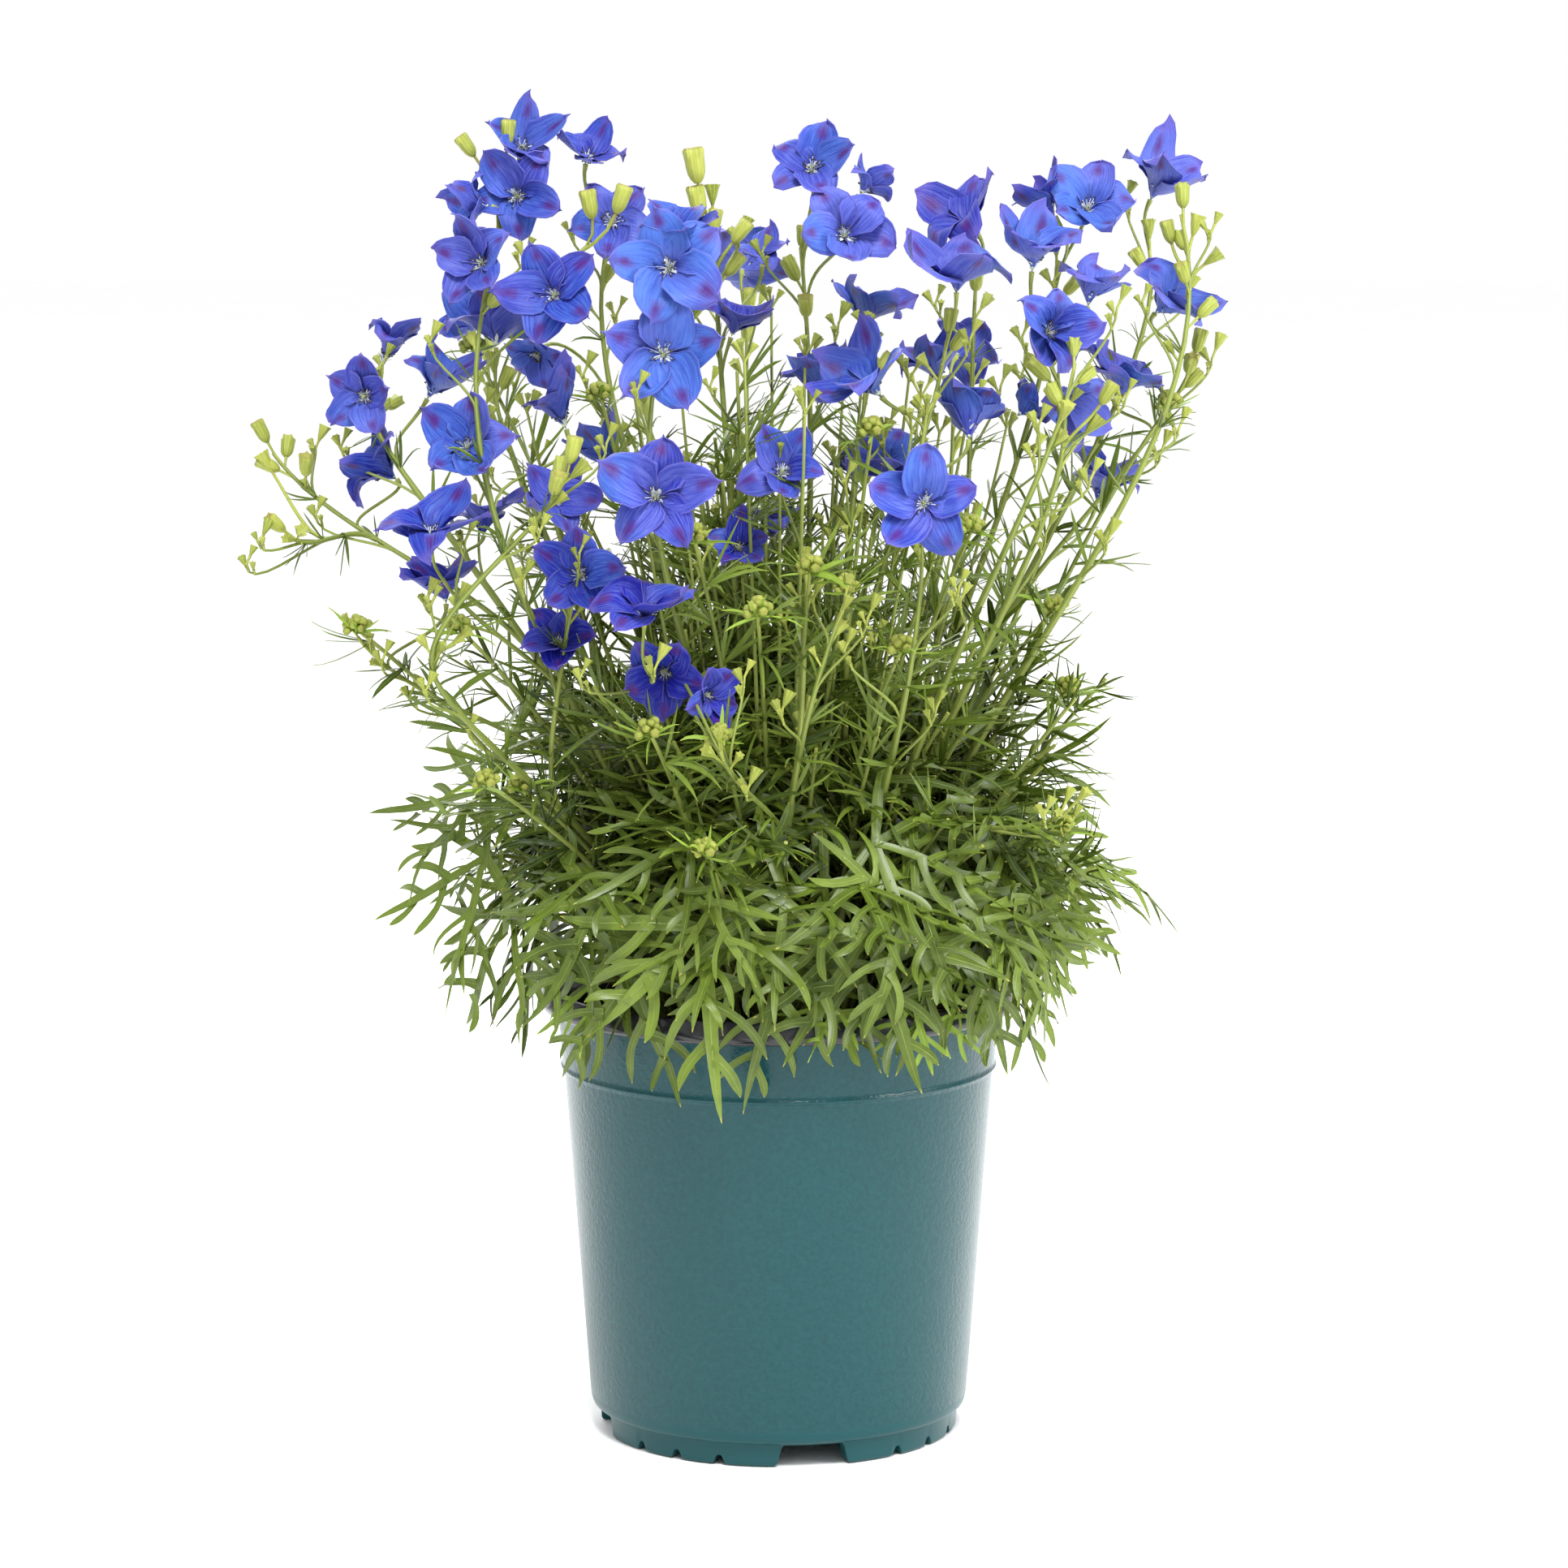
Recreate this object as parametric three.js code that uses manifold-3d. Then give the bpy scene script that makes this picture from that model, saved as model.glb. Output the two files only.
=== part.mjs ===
// A compact spurless delphinium in full flower, growing in a moulded nursery pot.
// Units are millimetres, +Z is up, and the origin is the middle of the pot's underside.
// The pot is empty of any print: its wall is plain.

import * as THREE from 'three';
import { mergeVertices } from 'three/addons/utils/BufferGeometryUtils.js';
import Module from 'manifold-3d';

const wasm = await Module();
wasm.setup();

// ---------------------------------------------------------------- driving dimensions

const POT_HEIGHT = 167;
const POT_FOOT_RADIUS = 66;
const POT_WALL_BOTTOM_RADIUS = 69.8;
const POT_COLLAR_HEIGHT = 135;
const POT_COLLAR_RADIUS = 79.9;
const POT_LIP_HEIGHT = 157.5;
const POT_LIP_RADIUS = 88.3;
const POT_WALL = 1.6;
const POT_FLOOR_TOP = 12;
const POT_SEGMENTS = 32;
const FOOT_RING_TOP = { radius: 66.5, height: 8.4 };
const WALL_HEEL = { radius: 69, height: 9.6 };
const FOOT_GAP_TURN = 11;
const FOOT_GAP_WIDTH = 28;
const FOOT_NOTCH_TURNS = [-15, 0, 15];
const DRAIN_LENGTH = 14;
const DRAIN_WIDTH = 9;
const REST_PAD_RADIUS = 15;
const REST_PAD_FLARE = 3;
const UNDERSIDE_HEIGHT = 9;
const FOOT_RING_WIDTH = 5;
const FOOT_RING_FLARE = 2;
const FOOT_CUT_DEPTH = 16;
const FOOT_CUT_RADIUS = 54;
const FOOT_GAP_HEIGHT = 8;
const FOOT_GAP_SLANT = 3;
const FOOT_NOTCH_HALF = 2.6;
const FOOT_NOTCH_TOP_HALF = 0.9;
const FOOT_NOTCH_HEIGHT = 3.6;
const CUT_OVERSHOOT = 1;
const WALL_UNDER_RIDGE = 79.2;
const RIDGE_RADIUS = 80.8;
const RIDGE_RISE = 1.2;
const RIDGE_HEIGHT = 2.6;
const COLLAR_TOP_RADIUS = 81.5;
const LIP_EDGE = 1.2;
const LIP_SWELL_RISE = 2.5;
const LIP_UNDER_RISE = 0.4;
const MOUTH_RADIUS = 83;
const FLOOR_FILLET = 3;
const FLOOR_FILLET_RISE = 2;
const INNER_FOOT_RADIUS = 67.2;

const SOIL_TOP = 150;
const SOIL_CROWN_RISE = 2;
const SOIL_SIDE_GAP = 0.5;
const SOIL_EDGE_DROP = 3;
const SOIL_EDGE_INSET = 0.4;
const SOIL_HEEL_INSET = 0.6;
const SOIL_HEEL_RISE = 2.6;
const CLEARANCE = 0.35;
const ROOT_DEPTH = 8;

const STEM_RADIUS = 1.6;
const STEM_TIP_RADIUS = 1.05;
const PEDICEL_RADIUS = 0.75;
const LEAFLET_LENGTH = 24;
const LEAFLET_WIDTH = 1.7;
const BUD_LENGTH = 11;
const BUD_RADIUS = 3.1;
const BUD_STALK_RADIUS = 0.55;
const LEAFLET_JOINTS = [0.5, 0.72];
const STEM_STEPS = 4;
const BRANCH_STEPS = 3;
const STEM_FOOT_RADIUS = 10;
const LEAF_FOOT_RADIUS = 8;
const FOOT_RISE = 8;
const FOOT_TAPER = 0.85;
const STEM_ROOT_RISE = 4;
const STEM_ROOT_INSETS = [3, 7];
const LOWER_STEM = { out: 0.35, up: 0.75 };
const BRANCH_EASE = 0.3;
const BRANCH_UPTURN = 0.5;
const BRANCH_ROOT_RADIUS = 0.8;
const STALK_ROOT_RADIUS = 0.5;
const STALK_EASE = { stem: 0.45, flower: 0.4 };
const STALK_GRID = { first: 8, last: 19, count: 20 };
const STALK_RISE = { share: 0.5, least: 4 };
const LOW_FLOWER_COST = 60;
const BUD_PLACES = { first: 0.98, step: 0.05, turn: 0.38 };
const BUD_LEANS = { end: 0.15, side: 0.8, scatter: 0.4, up: 0.3 };
const BUD_LENGTHS = { least: 0.85, scatter: 0.3 };
const BUD_STALK_LENGTH = 4;
const BUD_SHOULDER = 0.75;
const LEAFLET_TURN = 0.31;
const LEAFLET_LENGTHS = { first: 1.1, drop: 0.25, least: 0.8, scatter: 0.4 };
const LEAFLET_RISE = 0.45;
const LEAFLET_SHORTER = 0.85;
const LEAFLET_DEPTH = 1.2;
const STALK_STEPS = 2;
const SHEET = 0.85;
const SEAM_TOLERANCE = 0.05;
const SLIVER_AREA = 1e-3;
const WELD = 1e-3;
const TOUCH_VOLUME = 1e-6;

const LEAF_SPAN = 52;
const LEAF_LAYERS = [
  // turn from the clump's own bearing (degrees), reach, height, pitch (degrees), size
  { turn: -15, reach: 86, height: 193, pitch: -66, size: 1.08 },
  { turn: 15, reach: 97, height: 203, pitch: -44, size: 0.95 },
  { turn: -13, reach: 99, height: 219, pitch: -22, size: 0.92 },
  { turn: 16, reach: 90, height: 233, pitch: 6, size: 0.88 },
  { turn: -3, reach: 52, height: 248, pitch: 30, size: 0.82 },
];
const LEAF_CLUMPS = 3;
const CLUMP_RING = 42;

// The lobes of a cut leaf round the point where its stalk joins it: the bearing of each from the
// leaf's middle line (degrees), its length as a share of the span, and its number of straps.
const LEAF_LOBES = [
  { bearing: -106, length: 0.76, straps: 1 },
  { bearing: -54, length: 0.93, straps: 2 },
  { bearing: 0, length: 1.0, straps: 3 },
  { bearing: 54, length: 0.93, straps: 2 },
  { bearing: 106, length: 0.76, straps: 1 },
];
// For a lobe of one, two or three straps: the turn and the length of each strap.
const STRAP_TURNS = [[0], [-13, 13], [-19, 0, 19]];
const STRAP_LENGTHS = [[1], [0.9, 1], [0.82, 1, 0.82]];
const LOBE_HALF_TURN = 21;
const NOTCH_SHARE = 0.18;
const FORK_SHARE = 0.45;
const FORK_TURN = 0.5;
const LEAF_HEEL = [0.14, -165];
const LEAF_SHOULDER = [0.13, -130];
const LEAF_DROOP = 0.2;
const LEAF_SCATTER = { bearing: 10, reach: 0.1, height: 8, roll: 20, span: 0.12 };
const LEAF_STALK_RADII = [1.5, 1.3, 1.1];
const LEAF_STALK_STEPS = 3;
const LEAF_STALK_INSET = 3;
const LEAF_STALK_ARCH = { least: 178, rise: 8 };
const LEAF_STALK_LAP = 1.5;

// Each group of flowering stems stands on one foot at the crown. A main stem passes through
// its knee half way along. A branch leaves another stem of its group, given by its number,
// at a share of that stem's length. Both end at their tip, which carries the buds.
const STEM_GROUPS = [
  {
    name: 'flowering_stems_left',
    foot: [-23, 0],
    stems: [
      { knee: [-84, -60, 300], tip: [-98, -6, 446], buds: 2 },
      { knee: [-90, -75, 253], tip: [-112, -100, 302], buds: 2 },
      { from: [1, 0.8], tip: [-72, -107, 362], buds: 3 },
      { from: [0, 0.4], tip: [-118, -70, 322], buds: 0 },
      { from: [1, 0.4], tip: [-74, -68, 312], buds: 1 },
      { knee: [-104, -18, 312], tip: [-144, 10, 376], buds: 1 },
      { from: [5, 0.4], tip: [-183, -10, 362], buds: 3 },
      { from: [5, 0.2], tip: [-149, -58, 300], buds: 2 },
      { from: [6, 0.6], tip: [-173, -45, 334], buds: 2 },
      { knee: [-72, 8, 300], tip: [-104, 26, 384], buds: 2 },
      { from: [9, 0.4], tip: [-110, 74, 386], buds: 1 },
    ],
  },
  {
    name: 'flowering_stems_middle',
    foot: [0, 0],
    stems: [
      { knee: [-34, -62, 300], tip: [-38, -60, 408], buds: 1 },
      { from: [0, 0.4], tip: [-46, -100, 294], buds: 0 },
      { knee: [4, -78, 240], tip: [24, -92, 318], buds: 2 },
      { from: [2, 0.4], tip: [-20, -124, 268], buds: 2 },
      { from: [2, 0.6], tip: [10, -64, 322], buds: 2 },
      { knee: [-44, 4, 320], tip: [-62, 16, 438], buds: 2 },
      { knee: [-15, 8, 310], tip: [-24, 6, 450], buds: 3 },
      { knee: [10, 0, 300], tip: [8, -4, 436], buds: 2 },
      { from: [7, 0.4], tip: [34, 26, 390], buds: 1 },
      { knee: [-8, 58, 290], tip: [-12, 88, 406], buds: 1 },
      { from: [9, 0.4], tip: [-50, 56, 372], buds: 1 },
    ],
  },
  {
    name: 'flowering_stems_right',
    foot: [23, 0],
    stems: [
      { knee: [38, -74, 250], tip: [50, -90, 332], buds: 0 },
      { knee: [64, -84, 300], tip: [103, -82, 398], buds: 3 },
      { from: [1, 0.2], tip: [102, -84, 242], buds: 2 },
      { knee: [24, -42, 280], tip: [28, -40, 366], buds: 0 },
      { from: [3, 0.4], tip: [60, -38, 404], buds: 1 },
      { knee: [76, -50, 300], tip: [97, -44, 394], buds: 1 },
      { knee: [104, -36, 312], tip: [144, -22, 448], buds: 3 },
      { knee: [94, 12, 320], tip: [136, 24, 434], buds: 1 },
      { from: [7, 0.4], tip: [150, -8, 394], buds: 2 },
      { knee: [68, 22, 300], tip: [102, 14, 430], buds: 1 },
      { from: [9, 0.4], tip: [72, 10, 424], buds: 1 },
      { knee: [50, 56, 270], tip: [66, 86, 374], buds: 1 },
    ],
  },
];

// Each flower: its place, the way it faces, its petal length, how far it is cupped
// (0 open and flat, 1 a closed goblet) and its turn, clockwise from upright.
// The flowers of one row of brackets press into each other and hold together as one body.
const FLOWER_GROUPS = [
  [
    { at: [-93, 0, 470], face: [0.2, -0.7, 0.6], size: 20, cup: 0.25, turn: 0 },
    { at: [-94, -8, 454], face: [0, -0.95, 0.2], size: 21, cup: 0.12, turn: 36 },
    { at: [-104, -15, 451], face: [-0.9, -0.2, 0.1], size: 17, cup: 0.3, turn: 10 },
  ],
  [
    { at: [-70, 12, 466], face: [0.2, -0.55, 0.75], size: 17, cup: 0.2, turn: 36 },
    { at: [-61, 8, 444], face: [0.1, -0.9, 0.3], size: 20.5, cup: 0.2, turn: 36 },
  ],
  [{ at: [-104, -38, 431], face: [-0.5, -0.8, 0.2], size: 19, cup: 0.2, turn: 0 }],
  [{ at: [-78, -58, 420], face: [-0.2, -0.9, 0.3], size: 21, cup: 0.18, turn: -18 }],
  [
    { at: [-36, -62, 440], face: [0.1, -0.5, 0.85], size: 19, cup: 0.3, turn: 36 },
    { at: [-38, -70, 430], face: [0, -0.95, 0.3], size: 24, cup: 0.1, turn: -18 },
    { at: [-40, -76, 401], face: [0, -0.98, 0.1], size: 24, cup: 0.1, turn: 5 },
  ],
  [{ at: [-17, 0, 404], face: [0.3, -0.1, 0.9], size: 18, cup: 0.35, turn: 15 }],
  [{ at: [-104, 25, 399], face: [-0.05, 0.45, 0.85], size: 22, cup: 0.35, turn: 10 }],
  [{ at: [-86, -15, 399], face: [-0.2, -0.6, -0.3], size: 15, cup: 0.3, turn: 25 }],
  [{ at: [-76, -35, 373], face: [-0.35, -0.2, 0.9], size: 20, cup: 0.6, turn: 30 }],
  [{ at: [-128, 10, 381], face: [0.45, -0.3, 0.8], size: 21, cup: 0.5, turn: 5 }],
  [{ at: [-146, 25, 392], face: [0.35, -0.1, 0.9], size: 20, cup: 0.72, turn: 12 }],
  [{ at: [-148, -20, 383], face: [-0.3, -0.9, 0.1], size: 16, cup: 0.1, turn: 18 }],
  [{ at: [-139, -10, 353], face: [-0.75, -0.2, 0.6], size: 21, cup: 0.38, turn: 0 }],
  [{ at: [-110, -55, 366], face: [0, -0.85, 0.5], size: 20, cup: 0.12, turn: 10 }],
  [{ at: [-121, -80, 336], face: [0, -0.35, 0.93], size: 23, cup: 0.12, turn: 36 }],
  [{ at: [-107, -10, 333], face: [0, 0.1, 1], size: 18, cup: 0.35, turn: 8 }],
  [{ at: [-80, -45, 346], face: [0.2, -0.7, 0.4], size: 18, cup: 0.2, turn: 22 }],
  [{ at: [-119, -40, 311], face: [-0.2, 0.1, 0.95], size: 19, cup: 0.35, turn: 0 }],
  [{ at: [-69, -75, 323], face: [-0.1, -0.9, 0.3], size: 19, cup: 0.2, turn: 10 }],
  [{ at: [-42, -105, 353], face: [0, -0.95, 0.25], size: 23.5, cup: 0.08, turn: 8 }],
  [{ at: [-46, -110, 311], face: [0.05, -0.4, 0.9], size: 22, cup: 0.2, turn: 0 }],
  [{ at: [-78, -60, 297], face: [0, -0.7, 0.5], size: 16, cup: 0.25, turn: 28 }],
  [
    { at: [-39, -88, 292], face: [-0.1, -0.85, -0.2], size: 20, cup: 0.3, turn: 36 },
    { at: [-27, -96, 284], face: [0.5, -0.5, 0], size: 15, cup: 0.3, turn: 18 },
  ],
  [{ at: [-14, -55, 330], face: [0, -0.7, 0.6], size: 14, cup: 0.25, turn: 0 }],
  [{ at: [-2, -10, 332], face: [0, 0, 1], size: 14, cup: 0.35, turn: 20 }],
  [{ at: [-58, -10, 355], face: [-0.5, 0, 0.85], size: 19, cup: 0.6, turn: 6 }],
  [{ at: [1, -70, 358], face: [0.1, -0.75, 0.6], size: 18, cup: 0.15, turn: -36 }],
  [
    { at: [12, -30, 463], face: [-0.1, -0.8, 0.55], size: 21, cup: 0.15, turn: 18 },
    { at: [23, -44, 440], face: [0.15, -0.85, 0.45], size: 22, cup: 0.15, turn: 36 },
    { at: [29, -42, 456], face: [0.5, 0.2, 0.6], size: 14, cup: 0.35, turn: 5 },
  ],
  [{ at: [-6, 34, 429], face: [0, -0.5, 0.8], size: 13, cup: 0.4, turn: 18 }],
  [{ at: [30, 30, 406], face: [0.35, -0.15, 0.9], size: 21, cup: 0.35, turn: 26 }],
  [{ at: [72, 10, 441], face: [-0.55, -0.3, 0.75], size: 24, cup: 0.3, turn: 0 }],
  [{ at: [63, -45, 422], face: [0, -0.1, 1], size: 24, cup: 0.15, turn: 12 }],
  [{ at: [14, -25, 381], face: [-0.1, -0.1, 1], size: 22, cup: 0.6, turn: 30 }],
  [{ at: [36, -46, 385], face: [-0.6, -0.3, 0.75], size: 24, cup: 0.35, turn: 4 }],
  [{ at: [59, 30, 385], face: [-0.2, -0.2, 0.9], size: 19, cup: 0.4, turn: 22 }],
  [{ at: [68, -35, 369], face: [0.05, 0.55, 0.8], size: 23, cup: 0.55, turn: 16 }],
  [{ at: [88, 18, 374], face: [0.6, 0.3, 0.5], size: 13, cup: 0.4, turn: 8 }],
  [{ at: [38, -25, 354], face: [-0.05, -0.5, 0.85], size: 19, cup: 0.3, turn: 34 }],
  [{ at: [28, 25, 348], face: [0.2, 0.4, 0.8], size: 15, cup: 0.4, turn: 2 }],
  [{ at: [50, -105, 351], face: [0, -0.97, 0.15], size: 22, cup: 0.08, turn: 0 }],
  [
    { at: [111, -6, 448], face: [0.1, -0.75, 0.6], size: 23, cup: 0.22, turn: 14 },
    { at: [99, -11, 448], face: [-0.5, 0.1, 0.8], size: 17, cup: 0.4, turn: 28 },
  ],
  [{ at: [90, -38, 429], face: [0.1, -0.3, 0.9], size: 22, cup: 0.4, turn: 12 }],
  [{ at: [93, -65, 408], face: [0.45, -0.85, 0.15], size: 21, cup: 0.3, turn: 0 }],
  [{ at: [110, -40, 417], face: [0.2, -0.1, 0.8], size: 20, cup: 0.4, turn: 20 }],
  [{ at: [137, 30, 453], face: [0.4, -0.25, 0.8], size: 24, cup: 0.35, turn: 6 }],
  [{ at: [136, -15, 413], face: [0.65, -0.4, 0.6], size: 23, cup: 0.35, turn: 32 }],
  [{ at: [122, -5, 382], face: [0.25, -0.15, 0.9], size: 23, cup: 0.3, turn: 10 }],
  [{ at: [101, -33, 384], face: [0.3, -0.5, -0.2], size: 19, cup: 0.4, turn: 30 }],
  [{ at: [118, 30, 341], face: [0.25, -0.1, 0.9], size: 21, cup: 0.45, turn: 24 }],
  [{ at: [-113, 76, 404], face: [-0.5, 0.7, 0.5], size: 18, cup: 0.25, turn: 0 }],
  [{ at: [-14, 94, 424], face: [0.1, 0.9, 0.4], size: 20, cup: 0.2, turn: 30 }],
  [{ at: [68, 92, 392], face: [0.4, 0.8, 0.4], size: 19, cup: 0.2, turn: 20 }],
];
const FLOWERS = FLOWER_GROUPS.flat();

const PETALS = 5;
const PETAL_TURN = 360 / PETALS;
const LARGE_FLOWER = 24;

// The side view of a petal: how steeply it rises from the base and then spreads, in degrees for
// an open flower and what a full cup adds, and the share of its length where it bends.
const PETAL_RISE = { open: 50, cup: 35 };
const PETAL_SPREAD = { open: 8, cup: 67 };
const PETAL_BEND = 0.35;
// The edge of a petal: the share of its length and the turn from its middle line (degrees).
const BLUNT_EDGE = [[0.34, -36], [0.74, -31], [0.98, -11], [0.98, 11], [0.74, 31]];
const POINTED_EDGE = [[0.34, -36], [0.76, -30], [1.02, 0], [0.76, 30]];
const PETAL_MIDDLE = { share: 0.6, sink: 0.04 };
const PETAL_LENGTHS = { least: 0.94, scatter: 0.12 };
const PETAL_LIFT = 0.14;
const CORE_AXIS = new THREE.Vector3(0, 0, 1);
const TOP_HINT = new THREE.Vector3(0, 0.45, 0.9).normalize();

// ---------------------------------------------------------------- small helpers

const vec = (list) => new THREE.Vector3(...list);
const radians = THREE.MathUtils.degToRad;

// A repeatable draw between 0 and 1 for item a, feature b.
function draw(a, b) {
  const wave = Math.sin(a * 12.9898 + b * 78.233) * 43758.5453;
  return wave - Math.floor(wave);
}

// A closed solid from its vertices and the vertex numbers of its triangles.
function closedSolid(vertProperties, triVerts) {
  return new wasm.Manifold(new wasm.Mesh({ numProp: 3, vertProperties, triVerts }));
}

// A closed solid from corner points and triangles of point numbers.
function solidOf(points, triangles) {
  const corners = new Float32Array(points.flatMap((p) => [p.x, p.y, p.z]));
  return closedSolid(corners, new Uint32Array(triangles.flat()));
}

// A closed solid from a three.js geometry.
function solidOfGeometry(geometry) {
  geometry.deleteAttribute('normal');
  geometry.deleteAttribute('uv');
  const merged = mergeVertices(geometry, WELD);
  const place = merged.attributes.position;
  return closedSolid(new Float32Array(place.array), new Uint32Array(merged.index.array));
}

// The three.js geometry of a solid.
function geometryOf(solid) {
  const { vertProperties, triVerts } = solid.getMesh();
  const geometry = new THREE.BufferGeometry();
  geometry.setAttribute('position', new THREE.BufferAttribute(vertProperties.slice(), 3));
  geometry.setIndex(new THREE.BufferAttribute(triVerts.slice(), 1));
  return geometry;
}

// The triangles of a geometry sorted into shells that share no vertex.
function shellsOf(index, vertexCount) {
  const parent = Array.from({ length: vertexCount }, (_, i) => i);
  const find = (i) => {
    let root = i;
    while (parent[root] !== root) {
      parent[root] = parent[parent[root]];
      root = parent[root];
    }
    return root;
  };
  const shells = new Map();
  for (let i = 0; i < index.length; i += 3) {
    parent[find(index[i + 1])] = find(index[i]);
    parent[find(index[i + 2])] = find(index[i]);
  }
  for (let i = 0; i < index.length; i += 3) {
    const root = find(index[i]);
    shells.set(root, [...(shells.get(root) ?? []), index[i], index[i + 1], index[i + 2]]);
  }
  return [...shells.values()];
}

// The triangles left when every point that is not a corner is drawn into a neighbour: a
// point goes where that leaves all the faces round it in their planes, to within the
// tolerance, and turns none of them over.
function withoutIdlePoints(points, triangles, tolerance) {
  const round = points.map(() => new Set());
  triangles.forEach((triangle) => triangle.forEach((corner) => round[corner].add(triangle)));
  const neighbours = (corner) => {
    const set = new Set([...round[corner]].flat());
    set.delete(corner);
    return set;
  };
  const normalOf = ([a, b, c]) => {
    const ab = points[b].clone().sub(points[a]);
    return ab.cross(points[c].clone().sub(points[a]));
  };
  const fits = (from, to) => [...round[from]].every((triangle) => {
    const normal = normalOf(triangle);
    const area = normal.length();
    const step = points[to].clone().sub(points[from]);
    if (area > SLIVER_AREA && Math.abs(step.dot(normal)) / area > tolerance) {
      return false;
    }
    if (triangle.includes(to)) {
      return true;
    }
    const moved = normalOf(triangle.map((corner) => (corner === from ? to : corner)));
    if (moved.length() < SLIVER_AREA) {
      return false;
    }
    return area < SLIVER_AREA || moved.dot(normal) > 0.5 * area * moved.length();
  });
  const drawIn = (from) => {
    const near = neighbours(from);
    const goal = [...near].find((to) => {
      const shared = [...neighbours(to)].filter((corner) => near.has(corner)).length;
      return shared === 2 && near.size > 3 && fits(from, to);
    });
    if (goal === undefined) {
      return false;
    }
    [...round[from]].forEach((triangle) => {
      if (triangle.includes(goal)) {
        triangle.forEach((corner) => round[corner].delete(triangle));
        triangle.length = 0;
      } else {
        triangle[triangle.indexOf(from)] = goal;
        round[goal].add(triangle);
      }
    });
    round[from].clear();
    return true;
  };
  let moved = true;
  while (moved) {
    moved = points.map((_, corner) => round[corner].size > 0 && drawIn(corner)).some(Boolean);
  }
  return triangles.filter((triangle) => triangle.length === 3);
}

// A joined or cut solid reduced to its largest body, without idle points along its seams:
// loose scraps are dropped and any hollow sealed inside it is filled.
function tidy(solid) {
  const merged = mergeVertices(geometryOf(solid), WELD);
  const place = merged.attributes.position;
  const points = Array.from({ length: place.count }, (_, i) => {
    return new THREE.Vector3().fromBufferAttribute(place, i);
  });
  const bodies = shellsOf(merged.index.array, place.count).map((shell) => {
    const triangles = [];
    for (let i = 0; i < shell.length; i += 3) {
      triangles.push(shell.slice(i, i + 3));
    }
    return solidOf(points, withoutIdlePoints(points, triangles, SEAM_TOLERANCE));
  });
  bodies.sort((a, b) => b.volume() - a.volume());
  return bodies[0];
}

// One body out of many overlapping solids.
function fuse(solids) {
  return tidy(wasm.Manifold.union(solids));
}

// The three.js mesh of a finished solid.
function meshOf(name, solid, material) {
  const geometry = geometryOf(solid);
  geometry.computeVertexNormals();
  const mesh = new THREE.Mesh(geometry, material);
  mesh.name = name;
  return mesh;
}

// A closed tube through the points, with a radius at each point. A radius of 0 at the first
// or last point brings the tube to a point there.
function tube(points, radii, sides) {
  const along = points.at(-1).clone().sub(points[0]);
  const hint = Math.abs(along.x) > Math.abs(along.y) ? vec([0, 1, 0]) : vec([1, 0, 0]);
  const corners = [];
  const rings = points.map((point, i) => {
    if (radii[i] === 0) {
      corners.push(point);
      return Array(sides).fill(corners.length - 1);
    }
    const ahead = points[Math.min(i + 1, points.length - 1)];
    const behind = points[Math.max(i - 1, 0)];
    const tangent = ahead.clone().sub(behind).normalize();
    const across = hint.clone().addScaledVector(tangent, -hint.dot(tangent)).normalize();
    const up = tangent.clone().cross(across);
    return Array.from({ length: sides }, (_, k) => {
      const angle = (2 * Math.PI * k) / sides;
      const corner = point.clone().addScaledVector(across, radii[i] * Math.cos(angle));
      corners.push(corner.addScaledVector(up, radii[i] * Math.sin(angle)));
      return corners.length - 1;
    });
  });
  const triangles = [];
  for (let i = 0; i + 1 < rings.length; i += 1) {
    for (let k = 0; k < sides; k += 1) {
      const [a, b] = [rings[i][k], rings[i][(k + 1) % sides]];
      const [c, d] = [rings[i + 1][k], rings[i + 1][(k + 1) % sides]];
      triangles.push([a, b, d], [a, d, c]);
    }
  }
  const first = rings[0];
  const last = rings.at(-1);
  for (let k = 1; k + 1 < sides; k += 1) {
    triangles.push([first[0], first[k + 1], first[k]], [last[0], last[k], last[k + 1]]);
  }
  return solidOf(corners, triangles.filter(([a, b, c]) => a !== b && b !== c && c !== a));
}

// A thin curved sheet made solid: the same triangles on both faces, each face moved half
// the thickness along the sheet's own normal, and a rim between them.
function sheet(points, triangles, rim, thickness) {
  const normals = points.map(() => new THREE.Vector3());
  triangles.forEach(([a, b, c]) => {
    const ab = points[b].clone().sub(points[a]);
    const ac = points[c].clone().sub(points[a]);
    const normal = ab.cross(ac);
    [a, b, c].forEach((corner) => normals[corner].add(normal));
  });
  const half = thickness / 2;
  const upper = points.map((p, i) => p.clone().addScaledVector(normals[i].normalize(), half));
  const lower = points.map((p, i) => p.clone().addScaledVector(normals[i], -half));
  const count = points.length;
  const faces = [];
  triangles.forEach(([a, b, c]) => faces.push([a, b, c], [a + count, c + count, b + count]));
  rim.forEach((a, i) => {
    const b = rim[(i + 1) % rim.length];
    faces.push([a, a + count, b + count], [a, b + count, b]);
  });
  return solidOf([...upper, ...lower], faces);
}

// A pair of narrow leaves on opposite sides of a stem, as one slim three-edged blade that is
// bent upwards in the middle, where the stem passes through it.
function leafletPair(middle, tangent, outward, length, width, thickness) {
  const across = tangent.clone().cross(outward).normalize();
  const rise = tangent.clone().multiplyScalar(LEAFLET_RISE * length);
  const points = [
    middle.clone().addScaledVector(outward, length).add(rise),
    middle.clone().addScaledVector(across, width / 2),
    middle.clone().addScaledVector(across, -width / 2),
    middle.clone().addScaledVector(tangent, -thickness),
    middle.clone().addScaledVector(outward, -length * LEAFLET_SHORTER).add(rise),
  ];
  return solidOf(points, [[0, 1, 2], [0, 2, 3], [0, 3, 1], [4, 2, 1], [4, 3, 2], [4, 1, 3]]);
}

// ---------------------------------------------------------------- stems

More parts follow.
